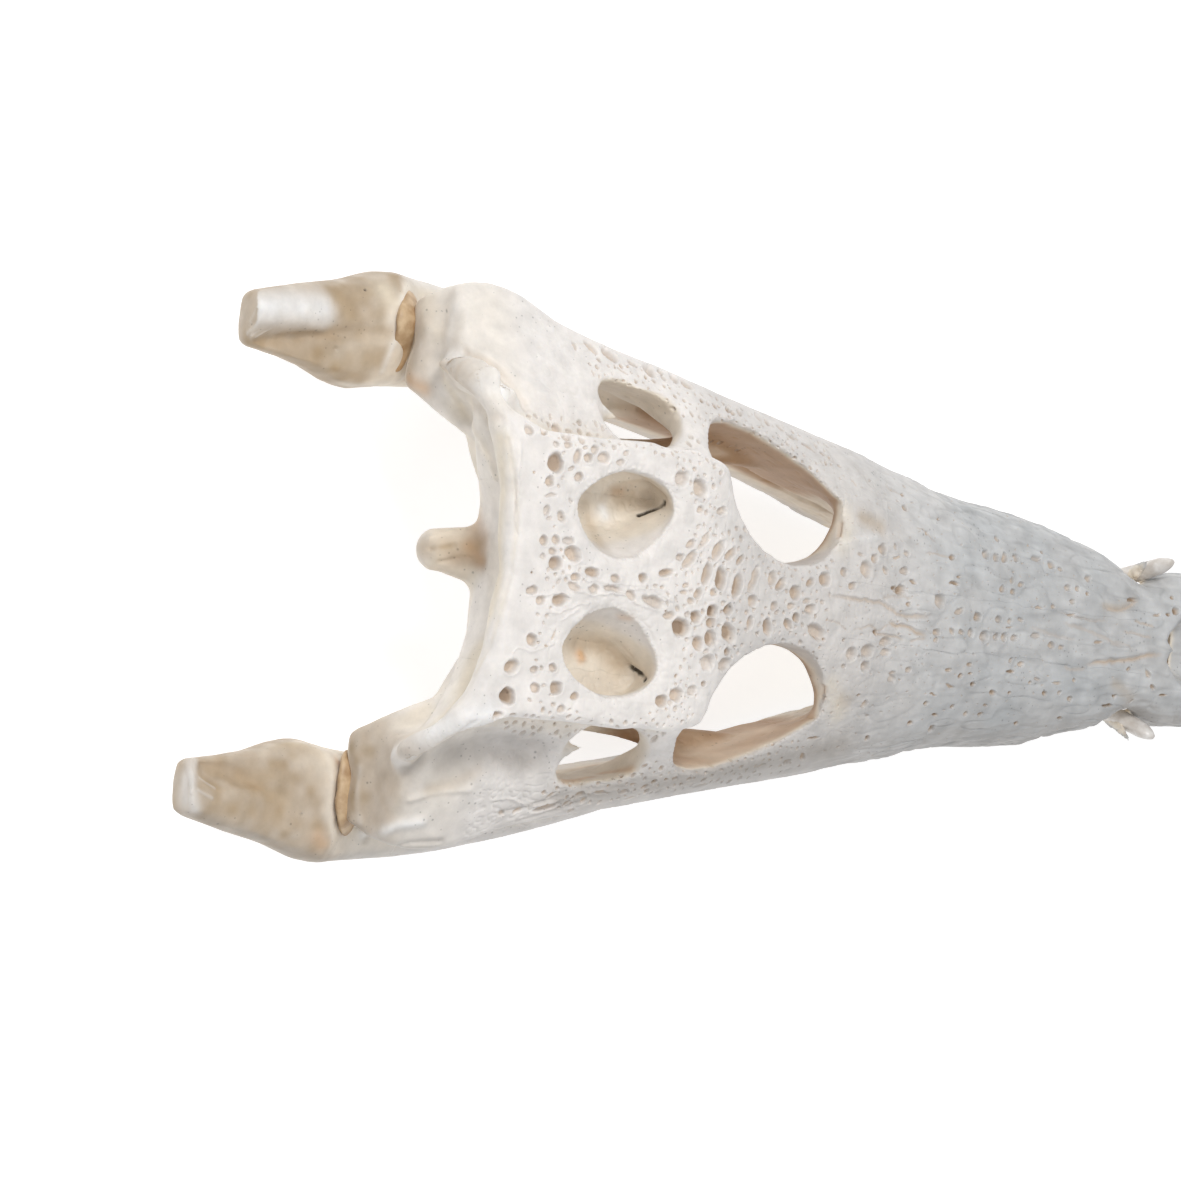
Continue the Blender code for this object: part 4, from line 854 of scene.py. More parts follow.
def seeded_pits(taken, rng):
    """Pits between the read ones, closest on the table and between the orbits."""
    found = list(taken)
    known = np.zeros((MOST_PITS, 3))
    known[:len(found)] = [pit[:3] for pit in found]

    def free(x, y, size, spacing):
        near = known[:len(found)]
        away = np.hypot(near[:, 0] - x, near[:, 1] - y)
        return (away > np.maximum(spacing, APART * (size + near[:, 2]))).all()

    def scatter(side_at, station_low, station_high, tries, spacing, small, large, brown):
        for _ in range(tries):
            station = rng.uniform(station_low, station_high)
            side = side_at(station)
            if not kept_near_ends(station, station_low, station_high, rng):
                continue
            if in_upper_opening(side, station):
                continue
            long = small * MM * (large / small) ** rng.random()
            x, y = place(side, station).xy
            if free(x, y, long, spacing * MM):
                known[len(found)] = x, y, long
                round_share, angle = rng.uniform(THINNEST, ROUNDEST), rng.uniform(0, math.pi)
                if station_high < TABLE_START:
                    round_share *= LENGTHWISE_THIN
                    angle = math.pi / 2 + LENGTHWISE_TURN * (angle - math.pi / 2)
                found.append((x, y, long, long * round_share, angle, brown * rng.uniform(PALEST, 1.0)))

    for low, high, start, end, spacing, small, large, brown in BANDS:
        area = 2 * (high - low) * (end - start) * SKULL_LENGTH ** 2
        tries = int(TRIES_PER_CELL * area / (spacing * MM) ** 2)
        scatter(lambda station: rng.choice((-1, 1)) * rng.uniform(low, high), start, end, tries,
                spacing, small, large, brown)
    start, end, near, far, spacing, small, large, brown = JUGAL_BAND
    scatter(lambda station: rng.choice((-1, 1)) * (float(HALF_WIDTH(station)) - rng.uniform(near, far)),
            start, end, JUGAL_TRIES, spacing, small, large, brown)
    return found[len(taken):]


# For the read and the seeded pits: factors on length and width, depth over half width of a pale and
# of a brown pit, greatest depth, and the painted shade on the floor of a pale pit
READ_FORM = (1.22, 1.42, 1.05, 1.65, 1.6 * MM, 0.38)
SEEDED_FORM = (1, 1, 0.80, 1.30, 1.0 * MM, 0.32)
# The lip's height over the pit's depth
LIP = 0.10
# Raised rims of openings: outline, half width and height in millimetres, and the factor on the
# outline's sides that sets the rim outside it
RIMS = ((ORBIT_RIM, 0.7, 0.22), (UPPER_OPENING, 0.6, 0.20))
RIM_OUTSIDE = 1.03


def press_pits(sheet, pits, form):
    """Sinks pits of one form into the sheet, the brown ones deepest."""
    longer, wider, pale_depth, brown_depth, deepest, pale_pit_shade = form
    for x, y, long, short, angle, brown in pits:
        depth = min(short * (pale_depth + (brown_depth - pale_depth) * brown), deepest)
        stain_and_shade = pale_pit_shade + (1 - pale_pit_shade) * brown
        sheet.pit(x, y, long * longer, short * wider, angle, depth, LIP, stain_and_shade)


def top_relief():
    """The marks that are seen from above."""
    sheet = Relief(place(-0.28, -0.01), place(0.28, 1.24), 0, 1)
    taken = read_pits()
    press_pits(sheet, taken, READ_FORM)
    press_pits(sheet, seeded_pits(taken, random.Random(11)), SEEDED_FORM)
    for corner, rows in LINES.items():
        for half, depth, brown, points in rows:
            hits = [seen(*enlarged(corner, x, y))[0] for x, y in points]
            line = smooth_line([hit.xy[:] for hit in hits if hit is not None])
            sheet.line(line, half / 100 * MM, depth / 100 * MM, brown / BROWNEST)
    for outline, wide, tall in RIMS:
        for side in (1, -1):
            ring = smooth_line([place(side * x * RIM_OUTSIDE, s).xy[:] for x, s in outline], closed=True)
            for a, b in zip(ring, ring[1:]):
                sheet.line((a, b), wide * MM, -tall * MM)
    sheet.finish()
    return sheet


# Seeded pits of the flanks: width over length, greatest lean in radians, depth over half length, lip,
# and least distance from the next over half length. Then the nerve openings' depth, lip and painted shade
FLANK_THINNEST, FLANK_ROUNDEST = 0.55, 0.9
FLANK_LEAN = 0.6
FLANK_DEPTH = 0.85
FLANK_LIP = 0.05
FLANK_APART = 1.9
NERVE_DEPTH, NERVE_LIP, NERVE_SHADE = 0.7 * MM, 0.08, 0.95


def flank_relief(side):
    """Pits of one flank, as seen from its side."""
    sheet = Relief(CAD_BOX[0], CAD_BOX[1], 1, 2)
    rng = random.Random(13 + side)
    known = np.zeros((MOST_PITS, 2))
    count = 0
    for start, end, low, high, spacing, small, large, brown in FLANK_BANDS:
        area = (end - start) * (high - low) * SKULL_LENGTH ** 2
        tries = int(FLANK_TRIES_PER_CELL * area / (spacing * MM) ** 2)
        for _ in range(tries):
            station = rng.uniform(start, end)
            if not kept_near_ends(station, start, end, rng):
                continue
            spot = np.array(place(0, station, rng.uniform(low, high)).yz)
            size = small * MM * (large / small) ** rng.random()
            if (np.linalg.norm(known[:count] - spot, axis=1) > max(spacing * MM, FLANK_APART * size)).all():
                known[count] = spot
                count += 1
                sheet.pit(*spot, size, size * rng.uniform(FLANK_THINNEST, FLANK_ROUNDEST),
                          rng.uniform(-FLANK_LEAN, FLANK_LEAN), FLANK_DEPTH * size, FLANK_LIP,
                          brown * rng.uniform(PALEST, 1.0))
    for start, end, step, rise, half in NERVE_ROWS:
        station = start
        while station < end:
            y, z = place(0, station, float(EDGE(station)) + rise + rng.uniform(-0.004, 0.004)).yz
            sheet.pit(y, z, 1.5 * half * MM, half * MM, rng.uniform(-0.5, 0.3), NERVE_DEPTH, NERVE_LIP,
                      NERVE_SHADE)
            station += step * rng.uniform(0.6, 1.3)
    sheet.finish()
    return sheet


def flank_share(out, side, station, hand):
    """How far a point lies on the outer side of the skull's left (1) or right (-1) flank."""
    return eased(hand * out[:, 0], 0.40, 0.70) * eased(hand * side / HALF_WIDTH(station), 0.70, 0.82)


def away_from(co, path):
    """Distance of points from a line."""
    away = np.full(len(co), 1.0)
    for a, b in zip(path, path[1:]):
        way = b - a
        share = np.clip(((co - a) @ way) / max(way @ way, 1e-12), 0, 1)
        away = np.minimum(away, np.linalg.norm(co - a - share[:, None] * way, axis=1))
    return away


def read_strokes():
    """Each stroke with its line in space and the mean way out of the bone along it."""
    found = []
    for half, depth, paint, strength, points in STROKES:
        hits = [seen(u, v)[:2] for u, v in points]
        hits = [hit for hit in hits if hit[0] is not None]
        if len(hits) < 2:
            continue
        out = sum((normal for _, normal in hits), Vector()).normalized()
        found.append((half * MM, depth * MM, paint, strength, smooth_line([hit[:] for hit, _ in hits], 4),
                      np.array(out)))
    return found


# How fast a stroke fades from its line, over which turns of the bone from its way out it goes, and
# how level the bone is that counts as seen from above
STROKE_FALL = 1.4
STROKE_FACING = (-0.1, 0.35)
SEEN_FROM_ABOVE = (0.20, 0.50)


def stroke_weights(co, normal, strokes):
    """Each stroke with the points in its reach and how far it tells there."""
    for half, depth, paint, strength, path, out in strokes:
        reach = LINE_REACH * half
        near = np.nonzero(((co > path.min(0) - reach) & (co < path.max(0) + reach)).all(1))[0]
        if len(near):
            away = away_from(co[near], path) / half
            weight = np.exp(-STROKE_FALL * away ** 2) * eased(normal[near] @ out, *STROKE_FACING)
            yield near, weight, depth, paint, strength


def pressed(co, normal, strokes, fine):
    """How far the broad or the fine strokes raise each point."""
    shift = np.zeros(len(co))
    chosen = [stroke for stroke in strokes if (stroke[0] < FINE_STROKE) == fine]
    for near, weight, depth, _, _ in stroke_weights(co, normal, chosen):
        shift[near] -= depth * weight
    return shift


def in_view_from_above(co, normal, cover):
    """1 where a point is level and uncovered, 0 where it is steep or covered."""
    return eased(normal[:, 2], *SEEN_FROM_ABOVE) * cover.open_sky(co)


# Sutures: thin wavy cuts that part the skin into its bones

def row_of(x, y, z):
    """Points from their coordinates, any of which may be one number for all."""
    return np.stack(np.broadcast_arrays(x, y, z), 1)


def suture_wave(length, tall, cell, seed):
    """Sideways steps of a suture at even places along it."""
    t = np.linspace(0.0, length, max(int(length / (0.25 * MM)), 2))
    points = row_of(t, 0, 0)
    return t / length, tall * (noise(points, cell, seed) + 0.5 * noise(points, cell / 2.3, seed + 50))


def cut_sheet(grid):
    """Closed thin solid round a grid of points."""
    du = np.gradient(grid, axis=0)
    dv = np.gradient(grid, axis=1)
    normal = np.cross(du, dv)
    normal /= np.linalg.norm(normal, axis=2, keepdims=True)
    sides = np.stack([grid + normal * SUTURE_GAP / 2, grid - normal * SUTURE_GAP / 2])
    m, n = grid.shape[:2]
    index = np.arange(2 * m * n).reshape(2, m, n)
    faces = []
    for i in range(m - 1):
        for j in range(n - 1):
            faces.append((index[0, i, j], index[0, i + 1, j], index[0, i + 1, j + 1], index[0, i, j + 1]))
            faces.append((index[1, i, j], index[1, i, j + 1], index[1, i + 1, j + 1], index[1, i + 1, j]))
    border = [(i, 0) for i in range(m)] + [(m - 1, j) for j in range(1, n)]
    border += [(i, n - 1) for i in range(m - 2, -1, -1)] + [(0, j) for j in range(n - 2, 0, -1)]
    for a, b in zip(border, border[1:] + border[:1]):
        faces.append((index[0][a], index[1][a], index[1][b], index[0][b]))
    faces = [tuple(int(v) for v in face) for face in faces]
    return closed_object("cut", sides.reshape(-1, 3).tolist(), faces, turned_out=True)


# Where the solids are parted, by station unless the name says otherwise
PREMAXILLA_END = 0.176
FACE_END = 0.612
TABLE_START = 0.776
NASAL_HALF = 0.026
JUGAL_END = 0.850
PALATE_TOP = 0.152
PALATE_END = 0.930
BRAINCASE_HALF = 0.078
DENTARY_END = 0.715
ANGULAR_END = 0.990
OVERRUN = 0.004
BEYOND = 0.30
REAR = 1.12


def nasal_floor(station):
    """Height of the cut under the nasals."""
    return 0.150 + 0.19 * (station - 0.395)


def table_floor(station):
    """Height of the cut under the skull table."""
    return 0.226 + 0.107 * (station - TABLE_START)


def jugal_side(station):
    """Side of the cut along the jugals."""
    return 0.100 + 0.14 * (station - 0.60)


def nasal_trough():
    """Wavy trough under and beside the nasals."""
    length = (FACE_END - PREMAXILLA_END + 2 * OVERRUN) * SKULL_LENGTH
    share, left = suture_wave(length, 0.45 * MM, 5 * MM, 31)
    _, right = suture_wave(length, 0.45 * MM, 5 * MM, 47)
    stations = PREMAXILLA_END - OVERRUN + share * (FACE_END - PREMAXILLA_END + 2 * OVERRUN)
    rows = []
    for side, drift, level in ((-1, right, 1), (-1, right, 0), (1, left, 0), (1, left, 1)):
        x = (side * NASAL_HALF + MIDDLE_SIDE) * SKULL_LENGTH + drift
        z = (nasal_floor(stations) + level * 0.12) * SKULL_LENGTH
        rows.append(row_of(x, (stations - MIDDLE_STATION) * SKULL_LENGTH, z))
    return cut_sheet(np.stack(rows, 1))


def shelf_cut(station, top, level, end):
    """Upright cut at a station down to a level, then along that level to the end station."""
    sides = np.linspace(-BEYOND, BEYOND, 700)
    wave = 0.5 * MM * noise(row_of(sides * SKULL_LENGTH, 0, 0), 1.9 * MM, 8)
    floor_stations = np.linspace(station, end, 40)
    rows = []
    for s, z in [(station, top)] + [(s, float(level(s))) for s in floor_stations]:
        drift = wave * max(0.0, 1 - (s - station) / 0.02)
        rows.append(row_of((sides + MIDDLE_SIDE) * SKULL_LENGTH, (s - MIDDLE_STATION) * SKULL_LENGTH + drift,
                           z * SKULL_LENGTH))
    return cut_sheet(np.stack(rows, 1))


def fence(points, low, high, tall, cell, seed):
    """Upright wavy cut along a line of places seen from above."""
    corners = np.array([place(*point).xy[:] for point in points])
    legs = np.linalg.norm(np.diff(corners, axis=0), axis=1)
    along = np.concatenate([[0], np.cumsum(legs)])
    t = np.linspace(0, along[-1], max(int(along[-1] / (0.3 * MM)), 2))
    x, y = np.interp(t, along, corners[:, 0]), np.interp(t, along, corners[:, 1])
    way = np.stack([np.gradient(x), np.gradient(y)], 1)
    way /= np.linalg.norm(way, axis=1, keepdims=True)
    wave = tall * MM * noise(row_of(t, 0, 0), cell * MM, seed)
    x, y = x - way[:, 1] * wave, y + way[:, 0] * wave
    return cut_sheet(np.stack([row_of(x, y, z * SKULL_LENGTH) for z in (low, high)], 1))


def cranium_cuts():
    """For each cut the bones that it parts from the rest of their piece."""
    across = -BEYOND, BEYOND
    yield ["premaxillae"], fence([(s, PREMAXILLA_END) for s in across], 0.0, 0.25, 0.6, 2.0, 3)
    yield (["nasals", "maxilla_left", "maxilla_right"],
           fence([(s, FACE_END) for s in across], 0.0, 0.35, 0.6, 2.4, 4))
    yield ["nasals"], nasal_trough()
    midline = [(0, PREMAXILLA_END - OVERRUN), (0, FACE_END + OVERRUN)]
    yield ["maxilla_left"], fence(midline, 0.0, 0.35, 0.3, 4.0, 6)
    yield ["skull_table"], shelf_cut(TABLE_START, 0.35, table_floor, REAR)
    for side, bone in ((1, "jugal_left"), (-1, "jugal_right")):
        points = [(side * jugal_side(s), s) for s in (FACE_END - OVERRUN, JUGAL_END)]
        points.append((side * BEYOND, JUGAL_END))
        yield [bone], fence(points, 0.0, 0.35, 0.4, 2.5, 10 + side)
    yield ["palate"], palate_cut()
    yield ["frontal"], fence([(s, TABLE_START) for s in across], 0.0, 0.35, 0.3, 3.0, 25)
    for side, bone in ((1, "quadrate_left"), (-1, "quadrate_right")):
        points = [(side * BRAINCASE_HALF, s) for s in (TABLE_START - OVERRUN, REAR)]
        yield [bone], fence(points, 0.0, 0.35, 0.4, 3.0, 20 + side)


def palate_cut():
    """Level cut over the palate, bent down behind it."""
    x = (np.linspace(-BEYOND, BEYOND, 60) + MIDDLE_SIDE) * SKULL_LENGTH
    profile = ((FACE_END - OVERRUN, PALATE_TOP), (TABLE_START, PALATE_TOP), (PALATE_END, PALATE_TOP),
               (PALATE_END, 0.0))
    return cut_sheet(np.stack([row_of(x, (s - MIDDLE_STATION) * SKULL_LENGTH, z * SKULL_LENGTH)
                               for s, z in profile], 1))


def cranium_bone(side, station, height):
    """Name of the bone at a place."""
    hand = "left" if side > 0 else "right"
    if station < PREMAXILLA_END:
        return "premaxillae"
    if station < FACE_END:
        return "nasals" if abs(side) < NASAL_HALF and height > nasal_floor(station) else f"maxilla_{hand}"
    if station > TABLE_START and height > table_floor(station):
        return "skull_table"
    if station < JUGAL_END and abs(side) > jugal_side(station):
        return f"jugal_{hand}"
    if height < PALATE_TOP and station < PALATE_END:
        return "palate"
    if station < TABLE_START:
        return "frontal"
    return f"quadrate_{hand}" if abs(side) > BRAINCASE_HALF else "braincase"


def groups_of(mesh):
    """A number for each point, the same for all points of one closed body."""
    pairs = edge_ends(mesh)
    label = np.arange(len(mesh.vertices))
    while True:
        before = label.copy()
        lower = np.minimum(label[pairs[:, 0]], label[pairs[:, 1]])
        np.minimum.at(label, pairs[:, 0], lower)
        np.minimum.at(label, pairs[:, 1], lower)
        label = label[label]
        if (label == before).all():
            return label


def mesh_part(mesh, points, faces, starts, totals, corners, extra):
    """New mesh of some points and faces, with their values."""
    renumber = np.full(len(mesh.vertices), -1)
    renumber[points] = np.arange(len(points))
    first = np.concatenate([[0], np.cumsum(totals[faces])[:-1]])
    shift = np.repeat(starts[faces] - first, totals[faces])
    picked = np.arange(totals[faces].sum()) + shift
    part = bpy.data.meshes.new("part")
    part.vertices.add(len(points))
    part.vertices.foreach_set("co", points_of(mesh)[points].astype(np.float32).ravel())
    part.loops.add(len(picked))
    part.loops.foreach_set("vertex_index", renumber[corners[picked]].astype(np.int32))
    part.polygons.add(len(faces))
    part.polygons.foreach_set("loop_start", first.astype(np.int32))
    part.update(calc_edges=True)
    for name in extra:
        keep_value(part, name, value_of(mesh, name)[points])
    return make_object("part", part)


def divided(thing, cut, bone_at, names):
    """Cuts a piece in two: the named bones, and the rest."""
    modified(thing, "BOOLEAN", operation="DIFFERENCE", object=cut, solver="MANIFOLD")
    bpy.data.objects.remove(cut, do_unlink=True)
    mesh = thing.data
    label = groups_of(mesh)
    starts, totals = (values_of(mesh.polygons, name, 1, np.int32) for name in ("loop_start", "loop_total"))
    corners = values_of(mesh.loops, "vertex_index", 1, np.int32)
    side, station, height = skull_frame(points_of(mesh))
    groups, counts = np.unique(label, return_counts=True)
    owners = {True: [], False: []}
    for group, count in zip(groups, counts):
        if count >= SPARE_POINTS:
            chosen = np.nonzero(label == group)[0]
            chosen = chosen[::max(1, len(chosen) // ASKED_POINTS)]
            inside = sum(bone_at(side[i], station[i], height[i]) in names for i in chosen)
            owners[inside > len(chosen) / 2].append(group)
    extra = [a.name for a in mesh.attributes if a.domain == "POINT" and a.data_type == "FLOAT"]
    face_label = label[corners[starts]]
    pieces = []
    for half in (True, False):
        points = np.nonzero(np.isin(label, owners[half]))[0]
        faces = np.nonzero(np.isin(face_label, owners[half]))[0]
        pieces.append(mesh_part(mesh, points, faces, starts, totals, corners, extra))
    bpy.data.objects.remove(thing, do_unlink=True)
    return pieces


def parted(skin, bones, cuts, bone_at):
    """Parts the skin with one cut after another and returns each bone's own object."""
    held = {tuple(bones): skin}
    for names, cut in cuts:
        group = next(group for group in held if set(names) <= set(group))
        first, rest = divided(held.pop(group), cut, bone_at, names)
        held[tuple(names)] = first
        held[tuple(name for name in group if name not in names)] = rest
    return {group[0]: thing for group, thing in held.items()}


# Light that reaches each point, and colour

# How far out of the bone a ray starts, and how far it looks
RAY_START = 0.5 * MM
RAY_REACH = 45 * MM
# More than 1, so that no ray turns into the bone that it starts from
RAY_LEAN = 1.05
OPENNESS_SMOOTHING = 8


def openness(thing, tree, directions=12):
    """Share of the sky round each point's normal that nothing near covers."""
    mesh = thing.data
    co, normal = points_of(mesh), normals_of(mesh)
    rng = random.Random(5)
    ways = []
    while len(ways) < directions:
        way = Vector((rng.uniform(-1, 1), rng.uniform(-1, 1), rng.uniform(-1, 1)))
        if 0.2 < way.length < 1:
            ways.append(way.normalized())
    result = np.zeros(len(co))
    cast = tree.ray_cast
    for i in range(len(co)):
        up = Vector(normal[i])
        start = Vector(co[i]) + up * RAY_START
        clear = 0
        for way in ways:
            if cast(start, way + up * RAY_LEAN, RAY_REACH)[0] is None:
                clear += 1
        result[i] = clear / directions
    pairs = edge_ends(mesh)
    count = np.bincount(pairs.ravel(), minlength=len(co)) + 1
    for _ in range(OPENNESS_SMOOTHING):
        total = result + np.bincount(pairs[:, 0], result[pairs[:, 1]], len(co)) + np.bincount(
            pairs[:, 1], result[pairs[:, 0]], len(co))
        result = total / count
    keep_value(mesh, "open", result)


# The bone's colours: bare, a little sheltered, in hollows, in pits, deep in the orbits, and on the snout.
# Where they tint sheltered bone, hollows, pits and orbits, they are partly staining and partly painted shade
WHITE_BONE = np.array((0.84, 0.80, 0.765))
WARM_BONE = np.array((0.82, 0.75, 0.65))
TAN_BONE = np.array((0.64, 0.47, 0.31))
PIT_SHADE = np.array((0.56, 0.49, 0.43))
BROWN_BONE = np.array((0.44, 0.275, 0.16))
COOL_BONE = np.array((0.67, 0.69, 0.70))
# The strokes' paints; grey is painted shade, black the painted shade of holes, and white partly painted
# highlight
PAINTS = {name: np.array(colour) for name, colour in (
    ("white_and_highlight", (0.93, 0.935, 0.94)), ("cream", (0.78, 0.69, 0.55)), ("yellow", (0.35, 0.235, 0.115)),
    ("tan", (0.48, 0.36, 0.23)), ("brown", (0.36, 0.24, 0.14)), ("orange", (0.62, 0.36, 0.17)),
    ("grey_shade", (0.35, 0.315, 0.28)), ("hole_shade", (0.03, 0.025, 0.02)))}
# Stretches of the skull that have their own look, by the stations over which each comes in or goes.
# The rear's look also ends over two heights
SNOUT_END = (0.42, 0.62)
FACE = ((0.50, 0.56), (0.74, 0.80))
ORBITS = ((0.575, 0.61), (0.765, 0.80))
REAR_EDGE, REAR_TOP = (0.955, 1.0), (0.262, 0.276)
JAW_REAR = (1.02, 1.06)
# The right side's painted shade: how far right it comes in, its rear end and the fade to it
RIGHT_SHADE_SIDE, RIGHT_SHADE_END, RIGHT_SHADE_FADE = (0.02, 0.10), 0.80, 0.15
# The greatest share of a tint where it is strongest; the right flank's grey is painted shade
SNOUT_COOL = 0.9
REAR_WARM = 0.60
JAW_REAR_YELLOW = 0.85
RIGHT_FLANK_SHADE = 0.50
# How much darker some stretches are, as shares of the light. The right side's darkening and that of the
# snout's creases are painted shade
SNOUT_DARKER, RIGHT_SHADE_DARKER, FACE_DARKER = 0.19, 0.13, 0.17
BLOTCH_DARKER, FINE_DARKER = 0.10, 0.05
CREASE_SHADE, STREAK_DARKER = 0.08, 0.08
# Tints of sheltered bone, partly its own staining and partly painted shade: colour, the shelter over
# which it comes in, and its share outside the orbits and what they add to it
SHELTER_STAIN_AND_SHADE = ((WARM_BONE, (0.10, 0.40), 1, 0), (TAN_BONE, (0.26, 0.62), 0.10, 0.85),
             (BROWN_BONE, (0.36, 0.70), 0, 0.85))
# Tints of the pits' floors, painted shade at first and brown staining in brown pits: colour, share, and the
# stain and shade over which it comes in
STAINED_AND_SHADED = ((PIT_SHADE, 0.50, (0.05, 0.40)), (TAN_BONE, 0.55, (0.35, 0.90)),
           (BROWN_BONE * 0.5, 0.85, (0.66, 1.0)))
# Between these weights of its stroke a mark of painted shade in a slit or pore has its edge
HOLE_SHADE_EDGE = (0.25, 0.55)
# Lengthwise creases of the snout: cell, seed, and width as a share of the noise
CREASE_CELL, CREASE_SEED, CREASE_WIDTH = 3.1 * MM, 28, (0.0, 0.16)


def mixed(base, other, share):
    """Colours with a share of another one."""
    return base * (1 - share[:, None]) + other * share[:, None]


def speckle(co, cell, seed):
    """Noise from 0 to 1."""
    return 0.5 + 0.5 * noise(co, cell, seed)


def creases(stretched):
    """1 along the creases of the snout, 0 between them."""
    return 1 - eased(np.abs(noise(stretched, CREASE_CELL, CREASE_SEED)), *CREASE_WIDTH)


def painted(thing, strokes):
    """Broad colour of the bone at each point, from its place and its openness, with painted shade in
    sheltered places, pits, creases, grooves and on the right side, and painted highlight on raised ridges.
    """
    mesh = thing.data
    co, normal = points_of(mesh), normals_of(mesh)
    side, station, height = skull_frame(co)
    blot, fine, patch = speckle(co, 9 * MM, 3), speckle(co, 2.5 * MM, 9), speckle(co, 4 * MM, 12)
    colour = np.tile(WHITE_BONE, (len(co), 1))
    snout = 1 - eased(station, *SNOUT_END)
    colour = mixed(colour, COOL_BONE, SNOUT_COOL * snout * (0.5 + 0.5 * blot))
    blotch = BLOTCH_DARKER * snout * eased(patch, 0.35, 0.75) + FINE_DARKER * eased(fine, 0.4, 0.8)
    colour *= (1 - blotch)[:, None]
    rear = eased(station, *REAR_EDGE) * (1 - eased(height, *REAR_TOP))
    colour = mixed(colour, WARM_BONE, REAR_WARM * rear * (0.6 + 0.4 * blot))
    joint = eased(station, *JAW_REAR)
    colour = mixed(colour, PAINTS["yellow"], JAW_REAR_YELLOW * joint * (0.6 + 0.4 * fine))
    # The snout's creases are darkened as painted shade; its streaks vary the bone's tone
    crease_shade_and_streaks = CREASE_SHADE * creases(co * STRETCHED) + STREAK_DARKER * noise(co * STRETCHED, 1.3 * MM, 35)
    colour *= (1 - crease_shade_and_streaks * snout - FACE_DARKER * within(station, *FACE))[:, None]
    # The right side in front of the table is darkened: painted shade
    right = eased(-side, *RIGHT_SHADE_SIDE) * eased(RIGHT_SHADE_END - station, 0, RIGHT_SHADE_FADE)
    colour *= (1 - SNOUT_DARKER * snout - RIGHT_SHADE_DARKER * right)[:, None]
    # Sheltered bone is tinted warm, tan and brown: partly its own staining, partly painted shade
    shut = 1 - value_of(mesh, "open")
    orbit = within(station, *ORBITS)
    for other, span, everywhere, added in SHELTER_STAIN_AND_SHADE:
        uneven = 0.7 + 0.3 * blot if other is TAN_BONE else 1
        colour = mixed(colour, other, eased(shut, *span) * uneven * (everywhere + added * orbit))
    # Faces of the right flank that turn to the right are greyed: painted shade
    right_flank_shade = eased(-normal[:, 0], 0.25, 0.80) * eased(-side / HALF_WIDTH(station), 0.70, 0.85)
    colour = mixed(colour, PAINTS["grey_shade"], RIGHT_FLANK_SHADE * right_flank_shade * (0.6 + 0.4 * patch))
    # Strokes: grey paints shade, black the shade of slits and pores, and white is partly painted highlight on
    # raised ridges
    for near, weight, _, paint, strength in stroke_weights(co, normal, strokes):
        if paint:
            share = weight * strength * (0.75 + 0.25 * fine[near])
            if paint == "hole_shade":
                share = eased(weight, *HOLE_SHADE_EDGE) * strength
            colour[near] = mixed(colour[near], PAINTS[paint], share)
    # Pit floors: painted shade, and brown staining where the pits are brown
    if "stain_and_shade" in mesh.attributes:
        stain_and_shade = value_of(mesh, "stain_and_shade")
        for other, share, span in STAINED_AND_SHADED:
            colour = mixed(colour, other, share * eased(stain_and_shade, *span))
    layer = mesh.color_attributes.new("tint", "FLOAT_COLOR", "POINT")
    colour = np.concatenate([colour, np.ones((len(co), 1))], 1)
    layer.data.foreach_set("color", colour.astype(np.float32).ravel())


class Recipe:
    """A material while its nodes are added."""

    def __init__(self, name, roughness):
        self.made = bpy.data.materials.new(name)
        self.made.use_nodes = True
        self.nodes, self.links = self.made.node_tree.nodes, self.made.node_tree.links
        self.shader = self.nodes["Principled BSDF"]
        self.shader.inputs["Roughness"].default_value = roughness
        self.place = self.nodes.new("ShaderNodeTexCoord").outputs["Object"]

    def add(self, kind, output, feeds=None, settings=None, **values):
        """Adds a node and returns one of its outputs. Feeds are the sockets that its inputs are linked to."""
        node = self.nodes.new(f"ShaderNode{kind}")
        for name, value in (settings or {}).items():
            setattr(node, name, value)
        for name, value in values.items():
            node.inputs[name.replace("_", " ")].default_value = value
        for name, socket in (feeds or {}).items():
            self.links.new(socket, node.inputs[name])
        return node.outputs[output]

    def noise(self, scale, detail, roughness=0.5):
        return self.add("TexNoise", "Fac", {"Vector": self.place}, Scale=scale, Detail=detail,
                        Roughness=roughness)

    def scaled(self, colour, factor):
        return self.add("VectorMath", "Vector", {0: colour, "Scale": factor}, {"operation": "SCALE"})

    def two_colours(self, value, low, dark, high, pale):
        """Base colour that goes from dark to pale over a range of the value."""
        ramp = self.nodes.new("ShaderNodeValToRGB")
        for element, at, colour in zip(ramp.color_ramp.elements, (low, high), (dark, pale)):
            element.position, element.color = at, colour
        self.links.new(value, ramp.inputs["Fac"])
        self.links.new(ramp.outputs["Color"], self.shader.inputs["Base Color"])

    def bump(self, height, strength, distance, below=None):
        """Bump over another one, if one lies below."""
        feeds = {"Height": height, "Normal": below} if below else {"Height": height}
        return self.add("Bump", "Normal", feeds, Strength=strength, Distance=distance)


